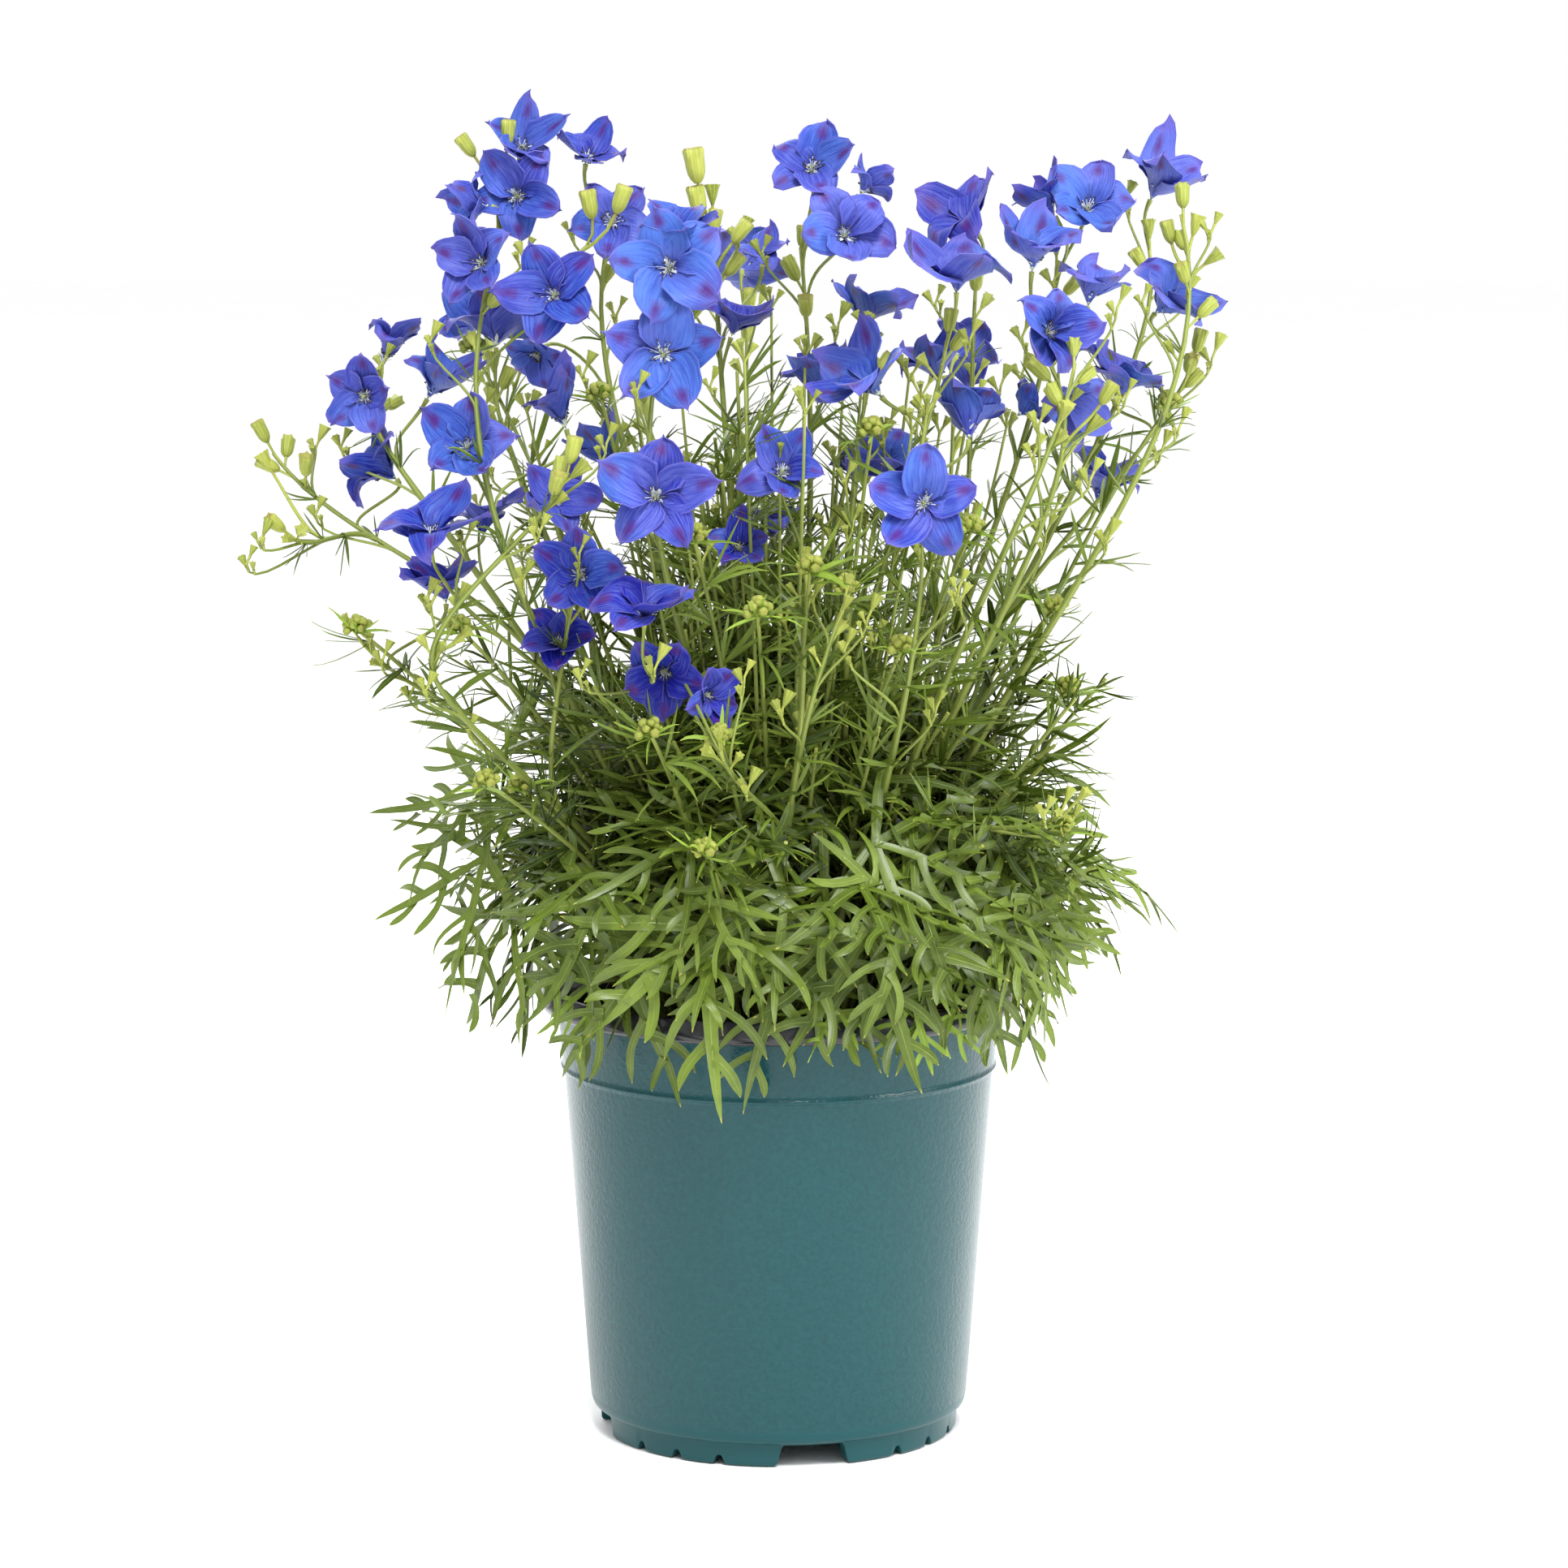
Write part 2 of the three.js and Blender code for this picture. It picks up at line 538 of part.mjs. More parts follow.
// The curve of a main stem, from its foot through its knee to its tip.
function mainCurve(foot, stem, number) {
  const knee = vec(stem.knee);
  const start = knee.clone().sub(vec([...foot, 0])).setZ(0);
  start.setLength(STEM_FOOT_RADIUS - STEM_ROOT_INSETS[number % 2]);
  start.add(vec([...foot, SOIL_TOP + STEM_ROOT_RISE]));
  const tip = vec(stem.tip);
  const rise = knee.clone().sub(start);
  const share = vec([LOWER_STEM.out, LOWER_STEM.out, LOWER_STEM.up]);
  const first = start.clone().add(rise.multiply(share));
  const second = knee.clone().multiplyScalar(8).sub(start).sub(tip);
  second.addScaledVector(first, -3).divideScalar(3);
  return new THREE.CubicBezierCurve3(start, first, second, tip);
}

// The curve of a branch: it leaves its parent along it and turns a little upwards to its tip.
function branchCurve(parent, share, tip) {
  const { point, tangent } = onStem(parent, share);
  const end = vec(tip);
  const reach = point.distanceTo(end);
  const arrival = end.clone().sub(point).divideScalar(reach);
  arrival.addScaledVector(CORE_AXIS, BRANCH_UPTURN).normalize();
  const first = point.clone().addScaledVector(tangent, BRANCH_EASE * reach);
  const second = end.clone().addScaledVector(arrival, -BRANCH_EASE * reach);
  return new THREE.CubicBezierCurve3(point, first, second, end);
}

// Every stem of the plant with its points and its own number.
function allStems() {
  const list = [];
  STEM_GROUPS.forEach(({ foot, stems }, group) => {
    const own = [];
    stems.forEach((stem) => {
      const main = Boolean(stem.knee);
      const curve = main
        ? mainCurve(foot, stem, own.length)
        : branchCurve(own[stem.from[0]], stem.from[1], stem.tip);
      const points = curve.getPoints(main ? STEM_STEPS : BRANCH_STEPS);
      own.push({ ...stem, main, group, id: list.length + own.length, points });
    });
    list.push(...own);
  });
  return list;
}

// The point at a share of a stem's length, and the stem's direction there.
function onStem(stem, share) {
  const steps = stem.points.length - 1;
  const step = Math.min(Math.floor(share * steps), steps - 1);
  const low = stem.points[step];
  const high = stem.points[step + 1];
  const point = low.clone().lerp(high, share * steps - step);
  return { point, tangent: high.clone().sub(low).normalize() };
}

// The stem that carries a flower and the point where its stalk leaves: the nearest point
// that lies lower than the flower by more than half its distance.
function carrierOf(flower, stems) {
  const at = vec(flower.at);
  let best = null;
  stems.forEach((stem) => {
    for (let step = STALK_GRID.first; step <= STALK_GRID.last; step += 1) {
      const { point, tangent } = onStem(stem, step / STALK_GRID.count);
      const reach = point.distanceTo(at);
      const tooHigh = at.z - point.z < STALK_RISE.share * reach + STALK_RISE.least;
      const cost = reach + (tooHigh ? LOW_FLOWER_COST : 0);
      if (!best || cost < best.cost) {
        best = { stem, point, tangent, cost };
      }
    }
  });
  return best;
}

// The stalk of a flower, from its stem to just under the flower's base.
function stalkPoints(flower, carrier, gap) {
  const at = vec(flower.at);
  const face = vec(flower.face).normalize();
  const end = at.clone().addScaledVector(face, -gap);
  const reach = carrier.point.distanceTo(end);
  const lift = carrier.point.clone();
  lift.addScaledVector(carrier.tangent, STALK_EASE.stem * reach);
  const under = end.clone().addScaledVector(face, -STALK_EASE.flower * reach);
  const curve = new THREE.CubicBezierCurve3(carrier.point, lift, under, end);
  return curve.getPoints(STALK_STEPS);
}

// One flower bud on its stalk: a slim trumpet that opens upwards to a low crown.
function bud(root, direction, stalk, length, extra) {
  const shoulder = root.clone().addScaledVector(direction, stalk + BUD_SHOULDER * length);
  const tip = root.clone().addScaledVector(direction, stalk + length + 3 * extra);
  const radius = BUD_RADIUS * (length / BUD_LENGTH) + extra;
  return tube([root, shoulder, tip], [BUD_STALK_RADIUS + extra, radius, 0], 4);
}

// The buds near a stem's tip: one at its end and the others lower down, leaning outwards.
function budFan(stem, extra) {
  return Array.from({ length: stem.buds }, (_, k) => {
    const place = BUD_PLACES.first - BUD_PLACES.step * k;
    const { point: root, tangent } = onStem(stem, place);
    const turn = 2 * Math.PI * (BUD_PLACES.turn * k + draw(stem.id, 1));
    const aside = BUD_LEANS.side + BUD_LEANS.scatter * draw(stem.id, k + 2);
    const spread = k === 0 ? BUD_LEANS.end : aside;
    const lean = vec([Math.cos(turn) * spread, Math.sin(turn) * spread, BUD_LEANS.up]);
    const share = BUD_LENGTHS.least + BUD_LENGTHS.scatter * draw(stem.id, k + 14);
    const direction = tangent.add(lean).normalize();
    return bud(root, direction, BUD_STALK_LENGTH, BUD_LENGTH * share, extra);
  });
}

// The narrow leaves at a stem's joints, in pairs that turn round the stem.
function leaflets(stem, extra) {
  return LEAFLET_JOINTS.slice(stem.main ? 0 : 1).map((place, j) => {
    const { point: middle, tangent } = onStem(stem, place);
    const turn = 2 * Math.PI * (LEAFLET_TURN * j + draw(stem.id, 20 + j));
    const outward = vec([Math.cos(turn), Math.sin(turn), 0]);
    outward.addScaledVector(tangent, -outward.dot(tangent)).normalize();
    const { first, drop, least, scatter } = LEAFLET_LENGTHS;
    const share = (first - drop * j) * (least + scatter * draw(stem.id, 40 + j));
    const length = LEAFLET_LENGTH * share + 4 * extra;
    const width = LEAFLET_WIDTH + 2 * extra;
    const depth = LEAFLET_DEPTH * SHEET + 2 * extra;
    return leafletPair(middle, tangent, outward, length, width, depth);
  });
}

// One stem with its buds and narrow leaves.
function stemSolids(stem, extra) {
  const thick = stem.main ? STEM_RADIUS : (STEM_RADIUS + STEM_TIP_RADIUS) / 2;
  const radii = stem.points.map((_, i) => {
    const taper = i / (stem.points.length - 1);
    const root = !stem.main && i === 0;
    return (root ? BRANCH_ROOT_RADIUS : thick + (STEM_TIP_RADIUS - thick) * taper) + extra;
  });
  return [tube(stem.points, radii, 4), ...budFan(stem, extra), ...leaflets(stem, extra)];
}

// The foot that a group of stems shares, a short stub half sunk in the soil.
function footSolid(foot, radius, extra) {
  const low = vec([...foot, SOIL_TOP - ROOT_DEPTH - extra]);
  const high = vec([...foot, SOIL_TOP + FOOT_RISE]);
  return tube([low, high], [radius + extra, radius * FOOT_TAPER + extra], 6);
}

// One group of flowering stems, with the stalks of the flowers that it carries.
function stemGroupSolid(group, g, stems, carriers, extra) {
  const parts = [footSolid(group.foot, STEM_FOOT_RADIUS, extra)];
  stems.filter((stem) => stem.group === g).forEach((stem) => {
    parts.push(...stemSolids(stem, extra));
  });
  carriers.forEach((carrier, i) => {
    if (carrier.stem.group === g) {
      const gap = SHEET / 2 + CLEARANCE;
      const points = stalkPoints(FLOWERS[i], carrier, gap);
      const radii = points.map((_, k) => (k === 0 ? STALK_ROOT_RADIUS : PEDICEL_RADIUS) + extra);
      parts.push(tube(points, radii, 3));
    }
  });
  return fuse(parts);
}

// ---------------------------------------------------------------- flowers

// The side view of a petal: a quadratic curve that rises from the base and then spreads.
// s runs from 0 at the base to 1 at the tip; the result is [outward, upward] over its length.
function petalProfile(s, cup) {
  const rise = radians(PETAL_RISE.open + PETAL_RISE.cup * cup);
  const spread = radians(PETAL_SPREAD.open + PETAL_SPREAD.cup * cup);
  const rest = 1 - PETAL_BEND;
  const bend = [PETAL_BEND * Math.cos(rise), PETAL_BEND * Math.sin(rise)];
  const end = [bend[0] + rest * Math.cos(spread), bend[1] + rest * Math.sin(spread)];
  const early = 2 * (1 - s) * s;
  return [early * bend[0] + s * s * end[0], early * bend[1] + s * s * end[1]];
}

// One flower: five broad petals round a base, in one thin sheet. Large flowers have blunt
// petals of five edge points, and small ones have pointed petals of four.
function corolla(flower, extra) {
  const number = FLOWERS.indexOf(flower);
  const face = vec(flower.face).normalize();
  const top = TOP_HINT.clone().addScaledVector(face, -TOP_HINT.dot(face)).normalize();
  const right = top.clone().cross(face);
  const base = vec(flower.at);
  const size = flower.size + 2 * extra;
  const place = (s, degrees, stretch, lift) => {
    const [out, up] = petalProfile(s, flower.cup);
    const angle = radians(degrees + flower.turn);
    const point = base.clone().addScaledVector(top, Math.cos(angle) * out * size * stretch);
    point.addScaledVector(right, Math.sin(angle) * out * size * stretch);
    return point.addScaledVector(face, (up + lift) * size * stretch);
  };
  const edge = flower.size >= LARGE_FLOWER ? BLUNT_EDGE : POINTED_EDGE;
  const points = [base.clone()];
  const triangles = [];
  const rim = [];
  for (let petal = 0; petal < PETALS; petal += 1) {
    const axis = petal * PETAL_TURN;
    const stretch = PETAL_LENGTHS.least + PETAL_LENGTHS.scatter * draw(number, petal);
    edge.forEach(([s, turn], k) => {
      const lift = k === 0 ? 0 : PETAL_LIFT * (draw(number, petal + 9) - 0.5) * s;
      points.push(place(s, axis + turn, k === 0 ? 1 : stretch, lift));
      rim.push(points.length - 1);
    });
    points.push(place(PETAL_MIDDLE.share, axis, stretch, -PETAL_MIDDLE.sink));
  }
  const step = edge.length + 1;
  for (let petal = 0; petal < PETALS; petal += 1) {
    const first = 1 + petal * step;
    const middle = first + edge.length;
    const next = 1 + ((petal + 1) % PETALS) * step;
    const round = [];
    for (let k = 0; k < edge.length; k += 1) {
      round.push(first + k);
    }
    round.push(next);
    triangles.push([0, middle, first], [0, next, middle]);
    for (let k = 0; k + 1 < round.length; k += 1) {
      triangles.push([middle, round[k + 1], round[k]]);
    }
  }
  rim.reverse();
  return sheet(points, triangles, rim, SHEET + 2 * extra);
}

// ---------------------------------------------------------------- basal leaves

// One cut leaf with its stalk. Each leaf's own draws scatter the numbers of its layer.
function leafSolids(clump, layer, number, extra) {
  const scatter = (amount, feature) => amount * (draw(number, feature) - 0.5);
  const bearing = radians(clump.bearing + layer.turn + scatter(LEAF_SCATTER.bearing, 1));
  const outward = vec([Math.cos(bearing), Math.sin(bearing), 0]);
  const reach = layer.reach * (1 + scatter(LEAF_SCATTER.reach, 2));
  const height = layer.height + scatter(LEAF_SCATTER.height, 3);
  const joint = outward.clone().multiplyScalar(reach).setZ(height);
  const pitch = radians(layer.pitch);
  const forward = outward.clone().multiplyScalar(Math.cos(pitch)).setZ(Math.sin(pitch));
  const roll = radians(scatter(LEAF_SCATTER.roll, 4));
  const side = CORE_AXIS.clone().cross(outward).applyAxisAngle(forward, roll);
  const normal = forward.clone().cross(side);
  const span = LEAF_SPAN * layer.size * (1 + scatter(LEAF_SCATTER.span, 5)) + 2 * extra;

  const place = (distance, degrees) => {
    const turn = radians(degrees);
    const point = joint.clone().addScaledVector(forward, span * distance * Math.cos(turn));
    point.addScaledVector(side, span * distance * Math.sin(turn));
    return point.addScaledVector(normal, -LEAF_DROOP * span * distance * distance);
  };

  const points = [joint.clone()];
  const triangles = [];
  const rim = [];
  const put = (distance, degrees) => {
    points.push(place(distance, degrees));
    rim.push(points.length - 1);
    return points.length - 1;
  };
  const heel = put(...LEAF_HEEL);
  let sinus = put(...LEAF_SHOULDER);
  triangles.push([0, heel, sinus]);
  LEAF_LOBES.forEach(({ bearing: lobe, length, straps }) => {
    const spread = STRAP_TURNS[straps - 1];
    const long = STRAP_LENGTHS[straps - 1];
    let inner = sinus;
    spread.forEach((turn, k) => {
      const tip = put(length * long[k], lobe + turn);
      const last = k === spread.length - 1;
      const next = last
        ? put(NOTCH_SHARE, lobe + LOBE_HALF_TURN)
        : put(length * FORK_SHARE, lobe + FORK_TURN * (turn + spread[k + 1]));
      triangles.push([inner, tip, next], [0, inner, next]);
      inner = next;
    });
    sinus = inner;
  });
  triangles.push([0, sinus, heel]);

  const low = vec([...clump.foot, SOIL_TOP + LEAF_STALK_INSET]);
  low.addScaledVector(outward, LEAF_STALK_INSET);
  const arch = Math.max(height, LEAF_STALK_ARCH.least) + LEAF_STALK_ARCH.rise;
  const bend = low.clone().lerp(joint, 0.5).setZ(arch);
  const under = joint.clone().addScaledVector(forward, LEAF_STALK_LAP);
  const stalk = new THREE.QuadraticBezierCurve3(low, bend, under).getPoints(LEAF_STALK_STEPS);
  const radii = [...LEAF_STALK_RADII.map((radius) => radius + extra), 0];
  return [sheet(points, triangles, rim, SHEET + 2 * extra), tube(stalk, radii, 3)];
}

// Every clump of basal leaves: its bearing and its foot on a ring round the crown.
function allClumps() {
  return Array.from({ length: LEAF_CLUMPS }, (_, c) => {
    const bearing = (360 / LEAF_CLUMPS) * c - 90;
    const angle = radians(bearing);
    return { bearing, foot: [CLUMP_RING * Math.cos(angle), CLUMP_RING * Math.sin(angle)] };
  });
}

// One clump: two rows of leaves side by side, on the foot that they share.
function clumpSolid(clump, c, extra) {
  const parts = [footSolid(clump.foot, LEAF_FOOT_RADIUS, extra)];
  [-1, 1].forEach((half, h) => {
    LEAF_LAYERS.forEach((layer, i) => {
      const number = (2 * c + h) * LEAF_LAYERS.length + i;
      const turn = layer.turn + half * (90 / LEAF_CLUMPS);
      parts.push(...leafSolids(clump, { ...layer, turn }, number, extra));
    });
  });
  return fuse(parts);
}

// ---------------------------------------------------------------- pot and soil

// Half of the pot's section, from the middle of its underside round the wall and back.
function potProfile() {
  return [
    [0, 0],
    [REST_PAD_RADIUS, 0],
    [REST_PAD_RADIUS + REST_PAD_FLARE, UNDERSIDE_HEIGHT],
    [POT_FOOT_RADIUS - FOOT_RING_WIDTH - FOOT_RING_FLARE, UNDERSIDE_HEIGHT],
    [POT_FOOT_RADIUS - FOOT_RING_WIDTH, 0],
    [POT_FOOT_RADIUS, 0],
    [FOOT_RING_TOP.radius, FOOT_RING_TOP.height],
    [WALL_HEEL.radius, WALL_HEEL.height],
    [POT_WALL_BOTTOM_RADIUS, POT_FLOOR_TOP],
    [WALL_UNDER_RIDGE, POT_COLLAR_HEIGHT],
    [RIDGE_RADIUS, POT_COLLAR_HEIGHT + RIDGE_RISE],
    [POT_COLLAR_RADIUS, POT_COLLAR_HEIGHT + RIDGE_HEIGHT],
    [COLLAR_TOP_RADIUS, POT_LIP_HEIGHT],
    [POT_LIP_RADIUS - LIP_EDGE, POT_LIP_HEIGHT + LIP_UNDER_RISE],
    [POT_LIP_RADIUS, POT_LIP_HEIGHT + LIP_SWELL_RISE],
    [POT_LIP_RADIUS - LIP_EDGE, POT_HEIGHT],
    [MOUTH_RADIUS, POT_HEIGHT - LIP_EDGE],
    [COLLAR_TOP_RADIUS - POT_WALL, POT_LIP_HEIGHT + 1],
    [WALL_UNDER_RIDGE - POT_WALL, POT_COLLAR_HEIGHT],
    [INNER_FOOT_RADIUS, POT_FLOOR_TOP + FLOOR_FILLET_RISE],
    [INNER_FOOT_RADIUS - FLOOR_FILLET, POT_FLOOR_TOP],
    [0, POT_FLOOR_TOP],
  ];
}

// A solid of revolution about the pot's axis.
function turned(profile, segments) {
  const outline = profile.map(([r, z]) => new THREE.Vector2(r, z));
  const geometry = new THREE.LatheGeometry(outline, segments);
  geometry.rotateX(Math.PI / 2);
  return solidOfGeometry(geometry);
}

// A straight cut through the foot ring, at a bearing measured from the front.
function footCut(shape, turn) {
  const settings = { depth: FOOT_CUT_DEPTH, bevelEnabled: false };
  const geometry = new THREE.ExtrudeGeometry(shape, settings);
  geometry.rotateX(Math.PI / 2);
  geometry.translate(0, -FOOT_CUT_RADIUS, 0);
  geometry.rotateZ(radians(turn));
  return solidOfGeometry(geometry);
}

// The pot: its foot ring is cut by four wide gaps and by small notches between them, and a
// drain slot passes through the floor over each gap.
function potSolid() {
  const half = FOOT_GAP_WIDTH / 2;
  const gap = new THREE.Shape();
  gap.moveTo(-half, -CUT_OVERSHOOT);
  gap.lineTo(half, -CUT_OVERSHOOT);
  gap.lineTo(half - FOOT_GAP_SLANT, FOOT_GAP_HEIGHT);
  gap.lineTo(-half + FOOT_GAP_SLANT, FOOT_GAP_HEIGHT);
  const notch = new THREE.Shape();
  notch.moveTo(-FOOT_NOTCH_HALF, -CUT_OVERSHOOT);
  notch.lineTo(FOOT_NOTCH_HALF, -CUT_OVERSHOOT);
  notch.lineTo(FOOT_NOTCH_TOP_HALF, FOOT_NOTCH_HEIGHT);
  notch.lineTo(-FOOT_NOTCH_TOP_HALF, FOOT_NOTCH_HEIGHT);
  let pot = turned(potProfile(), POT_SEGMENTS);
  for (let quarter = 0; quarter < 4; quarter += 1) {
    const turn = FOOT_GAP_TURN + 90 * quarter;
    pot = pot.subtract(footCut(gap, turn));
    FOOT_NOTCH_TURNS.forEach((offset) => {
      pot = pot.subtract(footCut(notch, turn + 45 + offset));
    });
    const drain = new THREE.BoxGeometry(DRAIN_WIDTH, DRAIN_LENGTH, 3 * POT_FLOOR_TOP);
    drain.translate(0, -(FOOT_CUT_RADIUS - DRAIN_LENGTH / 2), 0);
    drain.rotateZ(radians(turn));
    pot = pot.subtract(solidOfGeometry(drain));
  }
  return tidy(pot);
}

// The potting soil fills the pot to below its lip, with a plain hole for each foot. Its side
// runs beside the pot's inside, at a narrow gap.
function soilSolid(feet) {
  const side = (z) => {
    const top = WALL_UNDER_RIDGE - POT_WALL;
    const share = (z - POT_FLOOR_TOP) / (POT_COLLAR_HEIGHT - POT_FLOOR_TOP);
    return INNER_FOOT_RADIUS + (top - INNER_FOOT_RADIUS) * share - SOIL_SIDE_GAP;
  };
  const heel = POT_FLOOR_TOP + SOIL_HEEL_RISE;
  const profile = [
    [0, POT_FLOOR_TOP + CLEARANCE],
    [INNER_FOOT_RADIUS - FLOOR_FILLET - SOIL_HEEL_INSET, POT_FLOOR_TOP + CLEARANCE],
    [side(heel) - SOIL_EDGE_INSET, heel],
    [side(POT_COLLAR_HEIGHT), POT_COLLAR_HEIGHT],
    [side(SOIL_TOP) - SOIL_EDGE_INSET, SOIL_TOP - SOIL_EDGE_DROP],
    [0, SOIL_TOP + SOIL_CROWN_RISE],
  ];
  let soil = turned(profile, POT_SEGMENTS);
  feet.forEach(([foot, radius]) => {
    soil = soil.subtract(footSolid(foot, radius, CLEARANCE));
  });
  return tidy(soil);
}

// ---------------------------------------------------------------- assembly

const paint = (color, roughness) => new THREE.MeshStandardMaterial({ color, roughness });
const POT_FINISH = paint('#48757a', 0.42);
const SOIL_FINISH = paint('#3a2c22', 0.95);
const STEM_FINISH = paint('#7d9a48', 0.7);
const LEAF_FINISH = paint('#4f7434', 0.75);
const FLOWER_FINISH = paint('#3a4fd0', 0.6);

// A solid with a narrow clearance cut wherever it would touch one of its neighbours.
function clearOf(solid, neighbours) {
  let result = solid;
  const box = solid.boundingBox();
  neighbours.forEach(({ fat, box: other }) => {
    const apart = [0, 1, 2].some((k) => box.min[k] > other.max[k] || box.max[k] < other.min[k]);
    if (!apart && result.intersect(fat).volume() > TOUCH_VOLUME) {
      result = tidy(result.subtract(fat));
    }
  });
  return result;
}

const plant = new THREE.Group();
const stems = allStems();
const carriers = FLOWERS.map((flower) => carrierOf(flower, stems));
const clumps = allClumps();
const feet = [
  ...STEM_GROUPS.map((group) => [group.foot, STEM_FOOT_RADIUS]),
  ...clumps.map((clump) => [clump.foot, LEAF_FOOT_RADIUS]),
];

plant.add(meshOf('pot', potSolid(), POT_FINISH));
plant.add(meshOf('potting_soil', soilSolid(feet), SOIL_FINISH));

const taken = [];
const take = (fat) => taken.push({ fat, box: fat.boundingBox() });

STEM_GROUPS.forEach((group, g) => {
  plant.add(meshOf(group.name, stemGroupSolid(group, g, stems, carriers, 0), STEM_FINISH));
  take(stemGroupSolid(group, g, stems, carriers, CLEARANCE));
});

clumps.forEach((clump, c) => {
  const leaves = clearOf(clumpSolid(clump, c, 0), taken);
  plant.add(meshOf(`basal_leaves_${c + 1}`, leaves, LEAF_FINISH));
  take(clumpSolid(clump, c, CLEARANCE));
});

FLOWER_GROUPS.forEach((group, g) => {
  const name = `bloom_${String(g + 1).padStart(2, '0')}`;
  const petals = (extra) => fuse(group.map((flower) => corolla(flower, extra)));
  plant.add(meshOf(name, clearOf(petals(0), taken), FLOWER_FINISH));
  take(petals(CLEARANCE));
});

export default plant;
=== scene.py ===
# %% [markdown]
# A potted delphinium, dressed over its frame
#
# The plant stands in a moulded nursery pot. A frame of plain solids already gives every piece its
# size and place. Each step below takes one kind of piece, says what it is on the real plant, and
# works its surface out with numpy as whole arrays of points. Lengths are in millimetres until a
# mesh is made, because a petal of 20 is easier to read than one of 0.02.

# %% Load the frame
import math

import bpy
import numpy as np
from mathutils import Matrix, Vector


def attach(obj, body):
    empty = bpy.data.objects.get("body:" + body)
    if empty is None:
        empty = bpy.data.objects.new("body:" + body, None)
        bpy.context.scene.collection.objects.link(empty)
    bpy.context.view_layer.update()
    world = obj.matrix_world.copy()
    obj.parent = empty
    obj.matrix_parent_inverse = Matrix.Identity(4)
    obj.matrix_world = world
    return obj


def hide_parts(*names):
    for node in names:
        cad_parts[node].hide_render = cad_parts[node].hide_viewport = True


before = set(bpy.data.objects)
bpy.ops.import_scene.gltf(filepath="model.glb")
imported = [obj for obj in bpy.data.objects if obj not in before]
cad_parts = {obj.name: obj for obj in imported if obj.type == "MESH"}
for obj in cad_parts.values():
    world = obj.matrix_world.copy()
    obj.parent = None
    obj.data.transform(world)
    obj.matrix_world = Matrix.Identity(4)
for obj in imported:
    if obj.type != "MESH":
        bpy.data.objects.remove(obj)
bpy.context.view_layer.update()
MM = 0.001
RIGHT, BACK, UP = np.eye(3)
print("frame nodes:", len(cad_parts))

# %% [markdown]
# Camera and light
#
# The view is level with the flowers and far away, so the lens is long. Outdoors a plant has hard
# sun and deep shade, which would hide half of its leaves. So a white world lights it from all
# sides, as in a white cloth tent, and three large soft lamps give it a little shape.


# %% Camera
def add_object(name, data):
    """A new object for the data, linked to the scene."""
    added = bpy.data.objects.new(name, data)
    bpy.context.scene.collection.objects.link(added)
    return added


CAMERA_TILT = 7.68  # degrees below level

camera_data = bpy.data.cameras.new("studio_camera")
camera_data.sensor_width = 36.0
camera_data.lens = 116.9
camera_data.clip_end = 50.0
camera = add_object("studio_camera", camera_data)
camera.location = (0.002, -1.853, 0.4896)
camera.rotation_euler = (math.radians(90.0 - CAMERA_TILT), 0.0, 0.0)
bpy.context.scene.camera = camera
print("camera stands", round(-camera.location.y, 2), "m in front of the pot's axis")


# %% Lights
def soft_lamp(name, place, target, size, watts):
    """A square area lamp at a place, turned so that its face looks at the target."""
    data = bpy.data.lights.new(name, "AREA")
    data.shape = "SQUARE"
    data.size = size
    data.energy = watts
    lamp = add_object(name, data)
    lamp.location = place
    aim = Vector(target) - Vector(place)
    lamp.rotation_euler = aim.to_track_quat("-Z", "Y").to_euler()
    return lamp


soft_lamp("key_lamp", (0.2, -1.4, 2.3), (0, 0, 0.3), 0.8, 70.0)
soft_lamp("fill_lamp", (1.7, -0.6, 1.0), (0, 0, 0.2), 0.8, 24.0)
soft_lamp("back_lamp", (-0.5, 1.7, 1.6), (0, 0, 0.3), 1.4, 30.0)

world = bpy.data.worlds.new("white_tent")
world.use_nodes = True
world.node_tree.nodes["Background"].inputs["Color"].default_value = (1.0, 1.0, 1.0, 1.0)
world.node_tree.nodes["Background"].inputs["Strength"].default_value = 1.0
bpy.context.scene.world = world
bpy.context.scene.view_settings.view_transform = "Standard"
print("lamps:", len(bpy.data.lights))

# %% [markdown]
# How a surface becomes a mesh
#
# A mesh can be built face by face, but a plant has hundreds of thousands of faces. So every piece
# is gathered as batches of points and faces, and written to one mesh in one go. Each point also
# carries a place on its own surface (across and along) and a tone, a number that makes one leaf
# or petal a little lighter or darker than the next. In some pieces the tone also carries painted
# shade and light: darker deep in the leaf mound, low in the thicket and on lower flowers, and
# lighter on leaves at the plant's left and right sides. The materials read all three.


# %% A batch of surface, and how batches join
POINT_VALUES = ("points", "across", "along", "tone")


def batch(points, faces, across=0.5, along=0.5, tone=0.5, slots=0):
    """A grid of points (..., 3), a list of face arrays, and values that spread over the grid."""
    spread = {key: np.broadcast_to(value, points.shape[:-1]).ravel()
              for key, value in (("across", across), ("along", along), ("tone", tone))}
    if np.isscalar(slots):
        slots = [np.full(len(f), slots) for f in faces]
    return {"points": points.reshape(-1, 3), "faces": faces, "slots": slots, **spread}


def joined(batches):
    """One batch of several: the point numbers of each are moved past those before it."""
    start = np.cumsum([0] + [len(b["points"]) for b in batches])
    whole = {key: np.concatenate([b[key] for b in batches]) for key in POINT_VALUES}
    whole["faces"] = [f + s for b, s in zip(batches, start) for f in b["faces"]]
    whole["slots"] = [s for b in batches for s in b["slots"]]
    return whole


